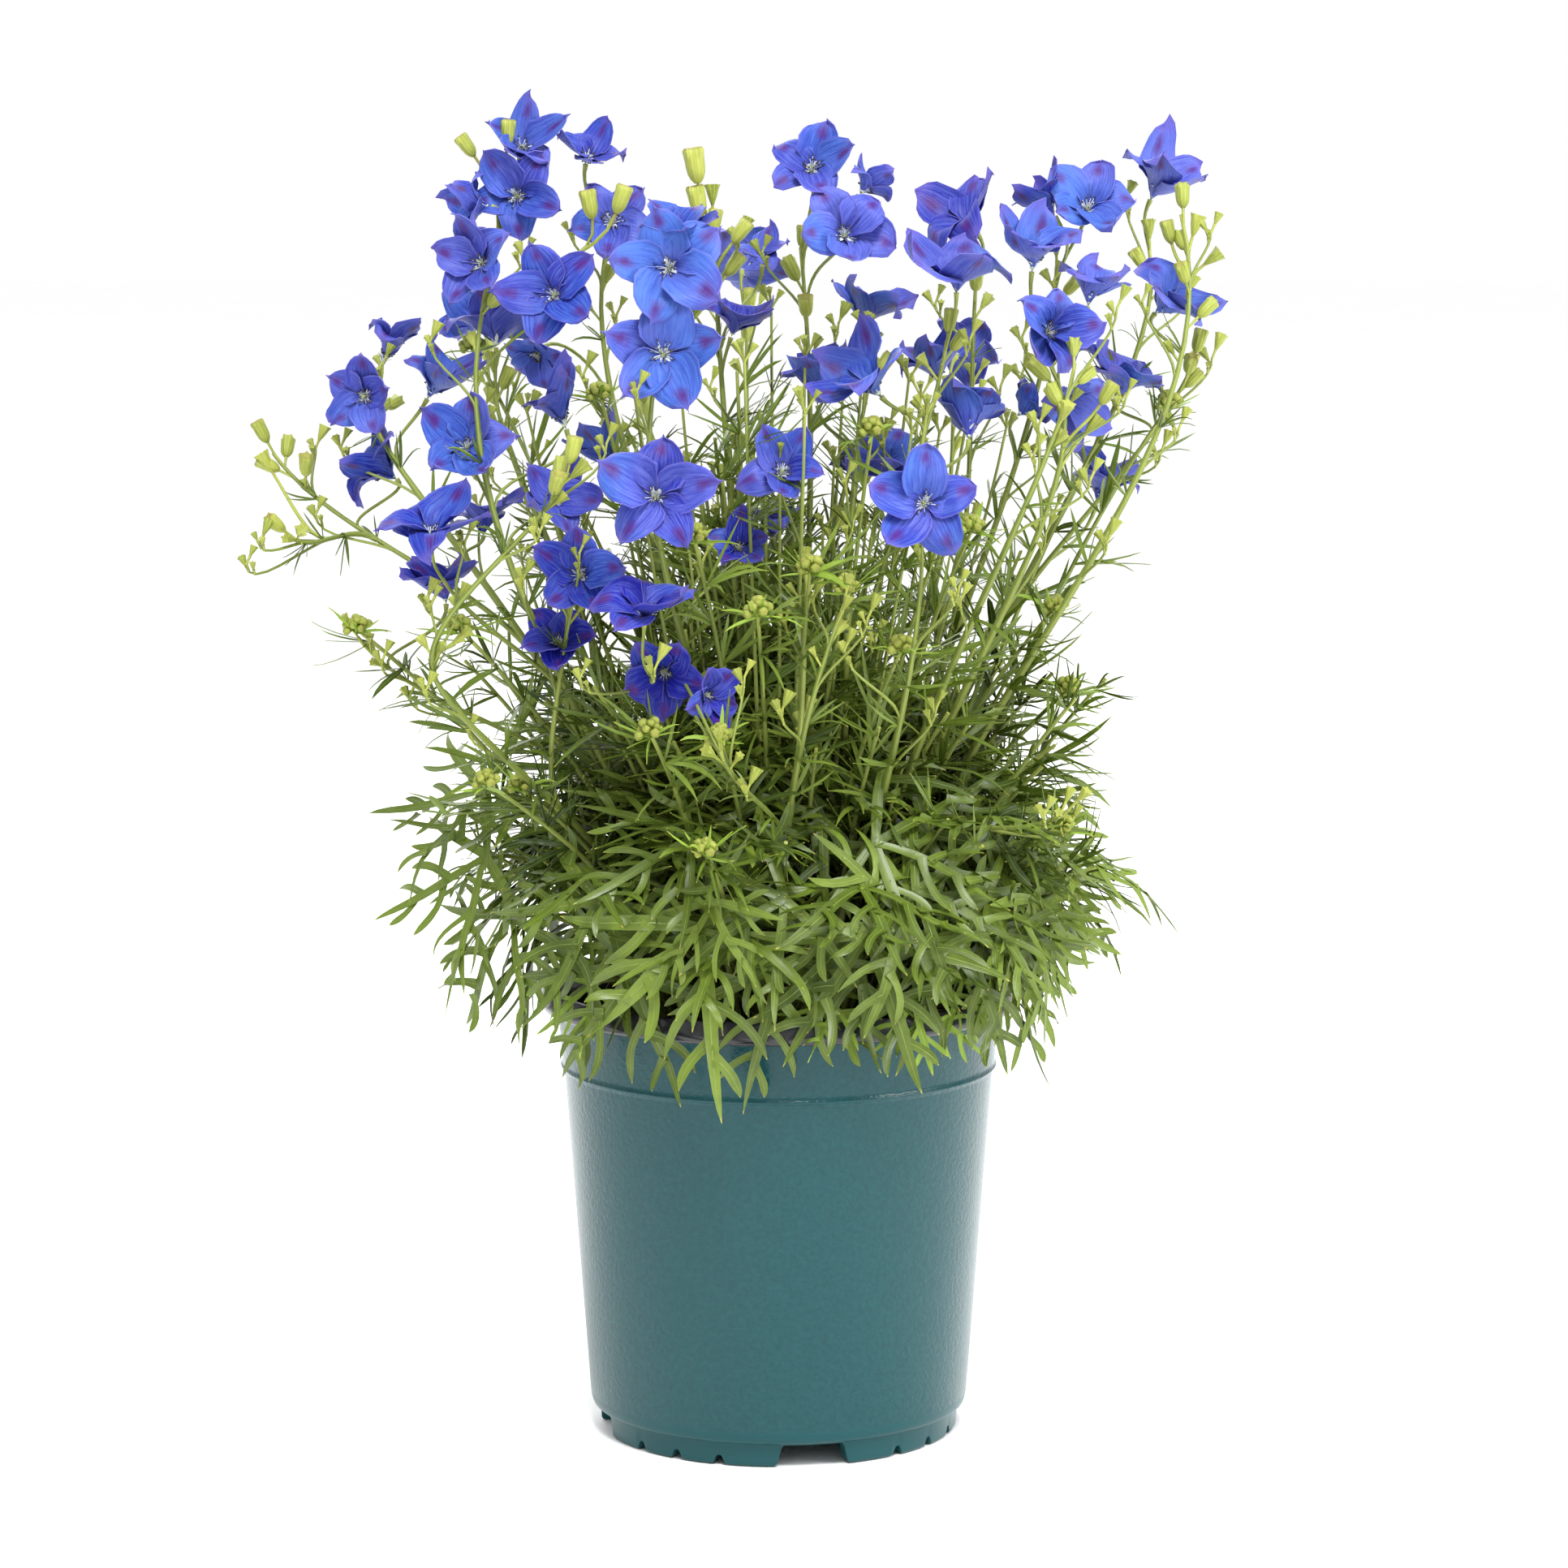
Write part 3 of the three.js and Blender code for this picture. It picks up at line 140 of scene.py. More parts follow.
def without_spares(surface):
    """Points that no face uses are dropped, and the rest are numbered anew."""
    used = np.unique(np.concatenate([f.ravel() for f in surface["faces"]]))
    new = np.full(len(surface["points"]), -1)
    new[used] = np.arange(len(used))
    kept = {key: surface[key][used] for key in POINT_VALUES}
    return {**kept, "faces": [new[f] for f in surface["faces"]], "slots": surface["slots"]}


# %% Writing one piece
def fill(rows, title, values):
    """All the rows' values of one title at once, as whole numbers or as single floats."""
    kind = np.int32 if values.dtype.kind == "i" else np.float32
    rows.foreach_set(title, values.astype(kind).ravel())


def make_piece(name, surface, materials, nodes=(), crease=60):
    """A mesh object that rides on the plant's body and stands for the frame's nodes."""
    sizes = np.concatenate([np.full(len(f), f.shape[1]) for f in surface["faces"]])
    corners = np.concatenate([f.ravel() for f in surface["faces"]])
    mesh = bpy.data.meshes.new(name)
    mesh.vertices.add(len(surface["points"]))
    mesh.loops.add(len(corners))
    mesh.polygons.add(len(sizes))
    fill(mesh.vertices, "co", surface["points"] * MM)
    fill(mesh.loops, "vertex_index", corners)
    fill(mesh.polygons, "loop_start", np.cumsum(sizes) - sizes)
    fill(mesh.polygons, "material_index", np.concatenate(surface["slots"]))
    mesh.update(calc_edges=True)
    places = np.stack([surface["across"], surface["along"]], axis=1)[corners]
    fill(mesh.uv_layers.new(name="surface").data, "uv", places)
    fill(mesh.attributes.new("tone", "FLOAT", "POINT").data, "value", surface["tone"])
    mesh.shade_smooth()
    mesh.set_sharp_from_angle(angle=math.radians(crease))
    for material in materials:
        mesh.materials.append(material)
    piece = add_object(name, mesh)
    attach(piece, "root")
    if nodes:
        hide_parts(*nodes)
    print(f"{name}: {int((sizes - 2).sum())} triangles")
    return piece


# %% Directions, tables and repeatable draws
def unit(vectors):
    """Each vector over its own length."""
    return vectors / np.maximum(np.linalg.norm(vectors, axis=-1, keepdims=True), 1e-9)


def turned(first, second, angle):
    """first cos a + second sin a: the first direction turned by a towards the second."""
    angle = np.asarray(angle)[..., None]
    return first * np.cos(angle) + second * np.sin(angle)


def circle(steps):
    """Angles in even steps once round."""
    return 2 * np.pi * np.arange(steps) / steps


def bearings(angle):
    """Level directions at each angle from the right: (cos a, sin a, 0)."""
    return turned(RIGHT, BACK, angle)


def cross_hint(way):
    """A direction well off each way: to the back where it runs left and right, else right."""
    return np.where(np.abs(way[..., :1]) > 0.8, BACK, RIGHT)


def column(rows, place):
    """One column of a table as an array."""
    return np.array([row[place] for row in rows], float)


def draw(a, b):
    """The fraction of a fast sine wave: the same draw between 0 and 1 for the same a and b."""
    wave = np.sin(a * 12.9898 + b * 78.233) * 43758.5453
    return wave - np.floor(wave)


# %% Curves
def bezier(controls, t):
    """Cubic Bezier: four control points weighed by (1-t)^3, 3(1-t)^2 t, 3(1-t) t^2 and t^3."""
    weights = np.stack([(1 - t) ** 3, 3 * (1 - t) ** 2 * t, 3 * (1 - t) * t**2, t**3])
    return np.einsum("kr,...kc->...rc", weights, np.asarray(controls, float))


def on_curve(controls, share, step=0.01):
    """Point of a curve at a share of its length, and the direction between its two neighbours."""
    near = bezier(controls, np.array([share - step, share, share + step]))
    return near[1], unit(near[2] - near[0])


def around(path, hint):
    """Two unit directions at each point of each path: across it and out of it."""
    tangent = unit(np.gradient(path, axis=-2))
    side = unit(np.cross(tangent, np.broadcast_to(hint, path.shape)))
    return side, np.cross(side, tangent)


# %% Tubes and ribbons
def wrapped_quads(number):
    """Quads between neighbouring rows of point numbers; the last column meets the first."""
    low, high = number[..., :-1, :], number[..., 1:, :]
    return np.stack([low, np.roll(low, -1, -1), np.roll(high, -1, -1), high], axis=-1)


def ring_faces(paths, rings, sides):
    """Quads between the rings of each path, and one face over each end."""
    number = np.arange(paths * rings * sides).reshape(paths, rings, sides)
    ends = np.concatenate([number[:, 0, ::-1], number[:, -1]])
    return [wrapped_quads(number).reshape(-1, 4), ends.reshape(-1, sides)]


def tubes(paths, radii, sides, tone, slot=0):
    """Round tubes: path + r (side cos a - out sin a), with a running once round."""
    count, rings, _ = paths.shape
    chord = unit(paths[:, -1] - paths[:, 0])
    side, out = around(paths, cross_hint(chord)[:, None])
    spoke = turned(side[:, :, None], -out[:, :, None], circle(sides))
    points = paths[:, :, None] + spoke * np.broadcast_to(radii, (count, rings))[..., None, None]
    along = np.linspace(0, 1, rings)[:, None]
    return batch(points, ring_faces(count, rings, sides), np.arange(sides) / sides, along,
                 np.reshape(tone, (-1, 1, 1)), slot)


def ribbons(paths, out_hint, half_width, half_thick, fold, tone, slot=0):
    """Thin closed blades with a lens-shaped section: two edges and a midrib on each face.

    The edges stand half_width to each side of the path and are raised by the fold, so the blade
    is a shallow gutter; the midribs stand half_thick above and below the path.
    """
    count, rings, _ = paths.shape
    side, out = around(paths, out_hint)
    wide = np.broadcast_to(half_width, (count, rings))[..., None]
    raised = out * (fold * wide)
    points = np.stack([paths - side * wide + raised, paths + out * half_thick,
                       paths + side * wide + raised, paths - out * half_thick], axis=2)
    along = np.linspace(0, 1, rings)[:, None]
    return batch(points, ring_faces(count, rings, 4), np.array([0.0, 0.5, 1.0, 0.5]), along,
                 np.reshape(tone, (-1, 1, 1)), slot)


# %% [markdown]
# Finishes
#
# A leaf is matt green with a paler midrib, a pale tip and a soft mottle. A petal is deep blue with
# fine lengthwise veins and a purple blotch near its tip. Pictures of real leaves could be wrapped
# on, but they would repeat, so the colours are worked out from each point's place. The parts of
# these effects that several finishes share are node groups: built once, with named inputs, and
# given their own values in each material. The shader itself stays in the material.


# %% Node helpers
def feed(tree, socket, value):
    """Links another node's output to the socket, or sets the socket to a number or a colour."""
    if isinstance(value, bpy.types.NodeSocket):
        tree.links.new(value, socket)
    else:
        socket.default_value = value


def add_node(tree, kind, inputs, **settings):
    """A new shader node with its settings, and its inputs fed by title or by number."""
    node = tree.nodes.new("ShaderNode" + kind)
    for title, value in settings.items():
        setattr(node, title, value)
    for title, value in inputs.items():
        feed(tree, node.inputs[title], value)
    return node


def new_group(name, colors, numbers):
    """An empty node group with named inputs and two outputs, a Color and a Height."""
    tree = bpy.data.node_groups.new(name, "ShaderNodeTree")
    for title in colors:
        tree.interface.new_socket(name=title, in_out="INPUT", socket_type="NodeSocketColor")
    for title in numbers:
        tree.interface.new_socket(name=title, in_out="INPUT", socket_type="NodeSocketFloat")
    tree.interface.new_socket(name="Color", in_out="OUTPUT", socket_type="NodeSocketColor")
    tree.interface.new_socket(name="Height", in_out="OUTPUT", socket_type="NodeSocketFloat")
    given = tree.nodes.new("NodeGroupInput").outputs
    result = tree.nodes.new("NodeGroupOutput").inputs
    return tree, given, result


def math_node(tree, operation, *values):
    """A Math node with numbers or outputs as its inputs; gives its output."""
    return add_node(tree, "Math", dict(enumerate(values)), operation=operation).outputs[0]


def smooth_range(tree, value, low, high, to_low=0.0, to_high=1.0):
    """A smooth step of the value from low to high."""
    ends = {"Value": value, "From Min": low, "From Max": high, "To Min": to_low, "To Max": to_high}
    return add_node(tree, "MapRange", ends, interpolation_type="SMOOTHSTEP").outputs[0]


def mix_color(tree, factor, first, second):
    """The first colour where the factor is 0 and the second where it is 1."""
    return add_node(tree, "Mix", {0: factor, 6: first, 7: second}, data_type="RGBA").outputs[2]


def noise(tree, scale, detail=3.0, roughness=0.5, stretch=None):
    """Noise on Object coordinates, with an optional stretch of x, y and z."""
    place = tree.nodes.new("ShaderNodeTexCoord").outputs["Object"]
    if stretch is not None:
        place = add_node(tree, "Mapping", {"Vector": place, "Scale": stretch}).outputs["Vector"]
    given = {"Vector": place, "Scale": scale, "Detail": detail, "Roughness": roughness}
    return add_node(tree, "TexNoise", given).outputs["Fac"]


def own_place(tree):
    """The piece's own coordinates: across and along its surface, and its tone."""
    uv = add_node(tree, "UVMap", {}, uv_map="surface").outputs["UV"]
    parts = add_node(tree, "SeparateXYZ", {0: uv}).outputs
    tone = add_node(tree, "Attribute", {}, attribute_name="tone").outputs["Fac"]
    return parts["X"], parts["Y"], tone


def linear(red, green, blue):
    """A colour of 0 to 255 as seen on a screen, turned into the linear light of the shaders."""
    def channel(value):
        return value / 255 / 12.92 if value <= 10 else ((value / 255 + 0.055) / 1.055) ** 2.4

    return (channel(red), channel(green), channel(blue), 1.0)


# %% Shader and relief of a finish
def new_finish(name, group, values, roughness, bump, **constants):
    """A material whose Principled shader takes the group's Color, and its Height as a bump."""
    material = bpy.data.materials.new(name)
    material.use_nodes = True
    tree = material.node_tree
    shader = tree.nodes["Principled BSDF"]
    shader.inputs["Roughness"].default_value = roughness
    for title, value in constants.items():
        shader.inputs[title.replace("_", " ")].default_value = value
    paint = tree.nodes.new("ShaderNodeGroup")
    paint.node_tree = group
    for title, value in values.items():
        paint.inputs[title].default_value = value
    strength, distance = bump
    relief = tree.nodes.new("ShaderNodeBump")
    relief.inputs["Strength"].default_value = strength
    relief.inputs["Distance"].default_value = distance
    tree.links.new(paint.outputs["Color"], shader.inputs["Base Color"])
    tree.links.new(paint.outputs["Height"], relief.inputs["Height"])
    tree.links.new(relief.outputs["Normal"], shader.inputs["Normal"])
    return material


def let_light_through(material, share):
    """Part of the shader becomes Translucent in the same colour, as in a thin blade or petal."""
    tree = material.node_tree
    shader = tree.nodes["Principled BSDF"]
    color = shader.inputs["Base Color"].links[0].from_socket
    through = add_node(tree, "BsdfTranslucent", {"Color": color}).outputs["BSDF"]
    both = add_node(tree, "MixShader", {"Fac": share, 1: shader.outputs["BSDF"], 2: through})
    tree.links.new(both.outputs["Shader"], tree.nodes["Material Output"].inputs["Surface"])


# %% Finish of a green blade: leaf, stem, bract or bud
def build_blade_paint():
    """Blade colour, lighter or darker by tone and mottle, pale in the midrib and at the tip."""
    tree, given, result = new_group(
        "blade_paint", ("Blade", "Shade", "Vein", "Tip"), ("Vein Width", "Tip Start"))
    across, along, tone = own_place(tree)
    mottle = noise(tree, 160.0, 4.0, 0.6)
    by_tone = math_node(tree, "MULTIPLY_ADD", tone, 0.9, -0.3)
    light = math_node(tree, "MULTIPLY_ADD", mottle, 0.7, by_tone)
    blade = mix_color(tree, light, given["Shade"], given["Blade"])
    middle = math_node(tree, "ABSOLUTE", math_node(tree, "SUBTRACT", across, 0.5))
    off_rib = smooth_range(tree, middle, 0.0, given["Vein Width"])
    rib = math_node(tree, "SUBTRACT", 1.0, off_rib)
    veined = mix_color(tree, math_node(tree, "MULTIPLY", rib, 0.6), blade, given["Vein"])
    tip = smooth_range(tree, along, given["Tip Start"], 1.0, 0.0, 0.85)
    tree.links.new(mix_color(tree, tip, veined, given["Tip"]), result["Color"])
    grain = math_node(tree, "MULTIPLY_ADD", noise(tree, 900.0, 2.0), 0.4, rib)
    tree.links.new(grain, result["Height"])
    return tree


BLADE_PAINT = build_blade_paint()


def green_finish(name, blade, shade, vein, tip, vein_width, tip_start, roughness, through, shine):
    """A green finish from its four colours, with a fine grain and some light let through."""
    values = {"Blade": linear(*blade), "Shade": linear(*shade), "Vein": linear(*vein),
              "Tip": linear(*tip), "Vein Width": vein_width, "Tip Start": tip_start}
    finish = new_finish(name, BLADE_PAINT, values, roughness, (0.6, 0.0002),
                        Specular_IOR_Level=shine)
    let_light_through(finish, through)
    return finish


leaf_green = green_finish("leaf_green", (120, 142, 48), (40, 62, 6), (158, 178, 84),
                          (206, 196, 92), 0.07, 0.93, 0.36, 0.3, 0.48)
leaf_deep = green_finish("leaf_deep", (128, 150, 54), (46, 68, 10), (156, 176, 84),
                         (190, 184, 88), 0.07, 0.93, 0.36, 0.3, 0.48)
leaf_fresh = green_finish("leaf_fresh", (146, 174, 62), (96, 128, 36), (180, 198, 104),
                          (200, 196, 90), 0.1, 0.85, 0.5, 0.2, 0.3)
stem_green = green_finish("stem_green", (142, 154, 74), (92, 110, 40), (154, 166, 86),
                          (164, 172, 86), 0.1, 0.9, 0.5, 0.2, 0.35)
bud_green = green_finish("bud_green", (170, 178, 80), (116, 132, 44), (190, 194, 98),
                         (150, 142, 72), 0.12, 0.9, 0.5, 0.2, 0.35)
print("green finishes:", len(bpy.data.materials))


# %% Finish of a petal: its streaks and its marks
def petal_streaks(tree, across, along, tone):
    """Uneven streaks: noise on the petal's own place, stretched along it and shifted by tone."""
    scaled = [math_node(tree, "MULTIPLY", value, factor)
              for value, factor in ((across, 26.0), (along, 3.0), (tone, 37.0))]
    place = add_node(tree, "CombineXYZ", dict(enumerate(scaled))).outputs["Vector"]
    streaks = add_node(tree, "TexNoise", {"Vector": place, "Scale": 1.0, "Detail": 3.0})
    return smooth_range(tree, streaks.outputs["Fac"], 0.4, 0.68)


def petal_veins(tree, across, cloud):
    """Fine veins: the eighth power of a wave across the petal that the cloud makes wander."""
    fan = math_node(tree, "MULTIPLY_ADD", across, 46.0, math_node(tree, "MULTIPLY", cloud, 8.1))
    stripe = math_node(tree, "MULTIPLY_ADD", math_node(tree, "SINE", fan), 0.5, 0.5)
    return math_node(tree, "POWER", stripe, 8.0)


def petal_blotch(tree, given, across, along, cloud):
    """1 near a point on the midline and 0 past the blotch's size, with a ragged border."""
    side = math_node(tree, "MULTIPLY", math_node(tree, "SUBTRACT", across, 0.5), 0.75)
    up = math_node(tree, "SUBTRACT", along, given["Spot Place"])
    square = math_node(tree, "MULTIPLY_ADD", side, side, math_node(tree, "MULTIPLY", up, up))
    away = math_node(tree, "SUBTRACT", math_node(tree, "SQRT", square), 0.06)
    ragged = math_node(tree, "MULTIPLY_ADD", cloud, 0.12, away)
    outside = smooth_range(tree, ragged, 0.0, given["Spot Size"])
    return math_node(tree, "SUBTRACT", 1.0, outside)


def petal_rim_sheen(tree, across, along):
    """How much of the rim's violet tint and painted sheen shows: most at the tip and some
    along both edges.
    """
    off_middle = math_node(tree, "ABSOLUTE", math_node(tree, "SUBTRACT", across, 0.5))
    return math_node(tree, "MAXIMUM", smooth_range(tree, along, 0.88, 1.0, 0.0, 0.6),
                     smooth_range(tree, off_middle, 0.44, 0.5, 0.0, 0.35))


def build_petal_paint():
    """Clouded blue, darker in the veins and lighter in the streaks, with blotch, rim and base.

    The rim is a violet tint with painted sheen at the tip and along the edges.
    """
    tree, given, result = new_group(
        "petal_paint", ("Deep", "Light", "Sky", "Rim Sheen", "Spot", "Base"),
        ("Spot Place", "Spot Size", "Base End"))
    across, along, tone = own_place(tree)
    cloud = noise(tree, 220.0, 3.0, 0.55)
    vein = petal_veins(tree, across, cloud)
    streak = petal_streaks(tree, across, along, tone)
    by_tone = math_node(tree, "MULTIPLY_ADD", tone, 0.8, -0.2)
    cloudy = math_node(tree, "MULTIPLY_ADD", cloud, 0.5, by_tone)
    bright = math_node(tree, "MULTIPLY_ADD", streak, 0.42, cloudy)
    fade = smooth_range(tree, along, 0.05, 0.95, 0.3, 0.08)
    light = math_node(tree, "SUBTRACT", bright, math_node(tree, "MULTIPLY", vein, fade))
    tint = smooth_range(tree, noise(tree, 30.0, 1.0), 0.42, 0.66)
    pale = mix_color(tree, tint, given["Light"], given["Sky"])
    blue = mix_color(tree, light, given["Deep"], pale)
    # the rim: a violet tint with painted sheen, most at the tip and some along the edges
    rim_sheened = mix_color(tree, petal_rim_sheen(tree, across, along), blue, given["Rim Sheen"])
    spot = math_node(tree, "MULTIPLY", petal_blotch(tree, given, across, along, cloud), 0.85)
    spotted = mix_color(tree, spot, rim_sheened, given["Spot"])
    above = smooth_range(tree, along, 0.0, given["Base End"])
    color = mix_color(tree, math_node(tree, "SUBTRACT", 1.0, above), spotted, given["Base"])
    tree.links.new(color, result["Color"])
    grain = math_node(tree, "MULTIPLY_ADD", streak, 0.6, math_node(tree, "MULTIPLY", cloud, 0.7))
    height = math_node(tree, "SUBTRACT", grain, math_node(tree, "MULTIPLY", vein, 0.5))
    tree.links.new(height, result["Height"])
    return tree


PETAL_PAINT = build_petal_paint()


def petal_finish(name, deep, light, sky, rim, spot, base, spot_place, spot_size, base_end):
    """One side of a petal: soft, faintly downy and thin enough to glow against the light."""
    values = {"Deep": linear(*deep), "Light": linear(*light), "Sky": linear(*sky),
              "Rim Sheen": linear(*rim), "Spot": linear(*spot), "Base": linear(*base),
              "Spot Place": spot_place, "Spot Size": spot_size, "Base End": base_end}
    finish = new_finish(name, PETAL_PAINT, values, 0.5, (0.6, 0.00016),
                        Specular_IOR_Level=0.28, Sheen_Weight=0.06)
    let_light_through(finish, 0.2)
    return finish


# the fourth colour is the rim's violet tint with painted sheen
petal_inside = petal_finish("petal_inside", (8, 14, 148), (92, 103, 192), (72, 109, 196),
                            (114, 100, 190), (76, 16, 106), (96, 104, 190), 0.84, 0.17, 0.1)
petal_outside = petal_finish("petal_outside", (12, 20, 148), (94, 105, 190), (76, 111, 196),
                             (114, 102, 186), (88, 48, 92), (150, 166, 110), 0.87, 0.13, 0.15)
print("finishes with the petals:", len(bpy.data.materials))


# %% Finishes of plastic, soil and the flower's heart
def build_grain_paint():
    """Two colours mixed by noise, and the same noise as the height.

    Upright is the noise's share of its scale up and down; under 1 it draws the grain out upright.
    """
    tree, given, result = new_group("grain_paint", ("Dark", "Light"), ("Scale", "Detail", "Upright"))
    stretch = add_node(tree, "CombineXYZ", {0: 1.0, 1: 1.0, 2: given["Upright"]}).outputs["Vector"]
    grain = noise(tree, given["Scale"], given["Detail"], 0.6, stretch)
    tree.links.new(mix_color(tree, grain, given["Dark"], given["Light"]), result["Color"])
    tree.links.new(grain, result["Height"])
    return tree


GRAIN_PAINT = build_grain_paint()


def grainy_finish(name, dark, light, scale, roughness, bump, detail=4.0, upright=1.0, **constants):
    """A hard finish of two colours in a grain, with the grain as its relief."""
    values = {"Dark": linear(*dark), "Light": linear(*light), "Scale": scale, "Detail": detail,
              "Upright": upright}
    return new_finish(name, GRAIN_PAINT, values, roughness, (0.5, bump), **constants)


pot_wall = grainy_finish("pot_wall", (8, 64, 68), (12, 69, 73), 10.0, 0.3, 0.000002,
                         1.0, 0.3, IOR=1.34)
pot_collar = grainy_finish("pot_collar", (6, 54, 58), (20, 74, 78), 560.0, 0.24, 0.0005,
                           2.0, IOR=1.36)
pot_black = grainy_finish("pot_black", (24, 24, 27), (46, 46, 50), 60.0, 0.22, 0.0001)
soil_brown = grainy_finish("soil_brown", (30, 22, 16), (92, 70, 50), 420.0, 0.95, 0.001)
filament_white = grainy_finish("filament_white", (150, 160, 186), (226, 230, 216),
                               700.0, 0.6, 0.0001)
anther_dark = grainy_finish("anther_dark", (22, 20, 34), (74, 66, 62), 900.0, 0.7, 0.0001)
pistil_green = grainy_finish("pistil_green", (168, 182, 120), (220, 224, 178),
                             500.0, 0.6, 0.0001)
floor_pale = grainy_finish("floor_pale", (252, 252, 252), (255, 255, 255), 3.0, 0.9, 0.0001)
print("all finishes:", len(bpy.data.materials))

# %% [markdown]
# The floor
#
# A plain pale disc just under the pot's foot. It reaches far out of view, so that no edge or
# horizon shows behind the plant.

# %% Floor
floor_rim = 12.0 * bearings(circle(96)) - 0.0003 * UP
floor_mesh = bpy.data.meshes.new("floor")
floor_mesh.from_pydata(floor_rim.tolist(), [], [list(range(len(floor_rim)))])
floor_mesh.materials.append(floor_pale)
floor = add_object("floor", floor_mesh)
print("floor across:", floor_rim[:, 0].max() - floor_rim[:, 0].min(), "m")

# %% [markdown]
# The pot
#
# A blow-moulded nursery pot is one thin shell turned round its axis, so its section is drawn once
# and spun. Two things break the spin: the foot ring is cut by four wide gaps and a row of small
# notches, and four slots pass through the floor. They could be cut out with other solids, but
# that leaves ragged faces. So the foot is lifted by a function of the angle, and the slots are
# cells left out of the grid, with a wall round each hole.

# %% Section of the pot
POT_CORNERS = [  # radius, height, rounding, finish: 0 wall, 1 collar, 2 black
    (0, 0, 0, 0), (15, 0, 0.8, 0), (18, 9, 1.5, 0), (40, 9, 0, 0), (54, 9, 0, 0), (59, 9, 1, 0),
    (61, 0, 0.8, 0), (66, 0, 1.2, 0), (66.5, 8.4, 0.3, 0), (69, 9.2, 1.2, 0), (69.8, 12, 1.4, 0),
    (79.2, 135, 0.8, 1), (80.8, 136.2, 0.7, 1), (79.9, 137.6, 0.9, 1), (81.5, 157.5, 0.9, 1),
    (87.1, 157.9, 1.2, 2), (88.3, 160, 1.2, 2), (87.1, 167, 1.4, 2), (83, 165.8, 1.6, 2),
    (79.9, 158.5, 1.6, 2), (77.6, 135, 2, 2), (67.2, 14, 2, 2), (64.2, 12, 1, 2), (54, 12, 0, 2),
    (40, 12, 0, 2), (0, 12, 0, 2)]


def rounded_section(corners, steps=4):
    """Each corner becomes a short quadratic curve between points at the rounding's distance."""
    place = np.array([c[:2] for c in corners], float)
    t = np.linspace(0, 1, steps)[:, None]
    points, finish = [], []
    for i, (_, _, size, kind) in enumerate(corners):
        curve = place[i][None]
        if size:
            start = place[i] + unit(place[i - 1] - place[i]) * size
            stop = place[i] + unit(place[i + 1] - place[i]) * size
            curve = (1 - t) ** 2 * start + 2 * (1 - t) * t * place[i] + t**2 * stop
        points.append(curve)
        finish += [kind] * len(curve)
    return np.concatenate(points), np.array(finish)


section, section_finish = rounded_section(POT_CORNERS)
print("points of the section:", len(section))

# %% The foot's edge
TURNS = 640  # steps of the spin
FOOT_RING, SLOT_RING = 66, 47  # radius of the foot's edge, and of the middle of the drain slots
FOOT_GAPS = np.radians(-90 + 11 + 90 * np.arange(4))
FOOT_NOTCHES = np.radians(-90 + 56 + 90 * np.arange(4)[:, None] + np.array([-15, 0, 15])).ravel()
GAP_HALF, GAP_SLOPE, GAP_TALL = 14, 3.2, 8
NOTCH_HALF, NOTCH_SLOPE, NOTCH_TALL = 2.9, 2.3, 3.6
SLOT_HALF = 4.5


def off_marks(angle, marks, ring):
    """Distance round a circle of this radius from each angle to the nearest mark."""
    return np.abs((angle[:, None] - marks + np.pi) % (2 * np.pi) - np.pi).min(1) * ring


def foot_height(angle):
    """Height of the foot's edge: 8 in the wide gaps, up to 3.6 in the notches, otherwise 0.

    Each is a smooth step of the distance round the ring, so the teeth have rounded corners.
    """
    def step(share):
        share = np.clip(share, 0, 1)
        return share * share * (3 - 2 * share)

    gap = step((GAP_HALF - off_marks(angle, FOOT_GAPS, FOOT_RING)) / GAP_SLOPE) * GAP_TALL
    notch = step((NOTCH_HALF - off_marks(angle, FOOT_NOTCHES, FOOT_RING)) / NOTCH_SLOPE) * NOTCH_TALL
    return np.maximum(gap, notch)


print("foot's edge lifted to:", foot_height(circle(TURNS)).max())


# %% Spin the section and pierce the floor
def slot_walls(low_in, low_out, high_out, high_in, opened):
    """Quads round the open cells: the walls near and far from the axis and the two end walls."""
    after = (opened + 1) % TURNS
    first = opened[~np.isin((opened - 1) % TURNS, opened)]
    last = after[~np.isin(after, opened)]
    return np.concatenate([
        np.stack([high_in[opened], high_in[after], low_in[after], low_in[opened]], 1),
        np.stack([low_out[opened], low_out[after], high_out[after], high_out[opened]], 1),
        np.stack([high_in[first], high_out[first], low_out[first], low_in[first]], 1),
        np.stack([low_in[last], low_out[last], high_out[last], high_in[last]], 1)])


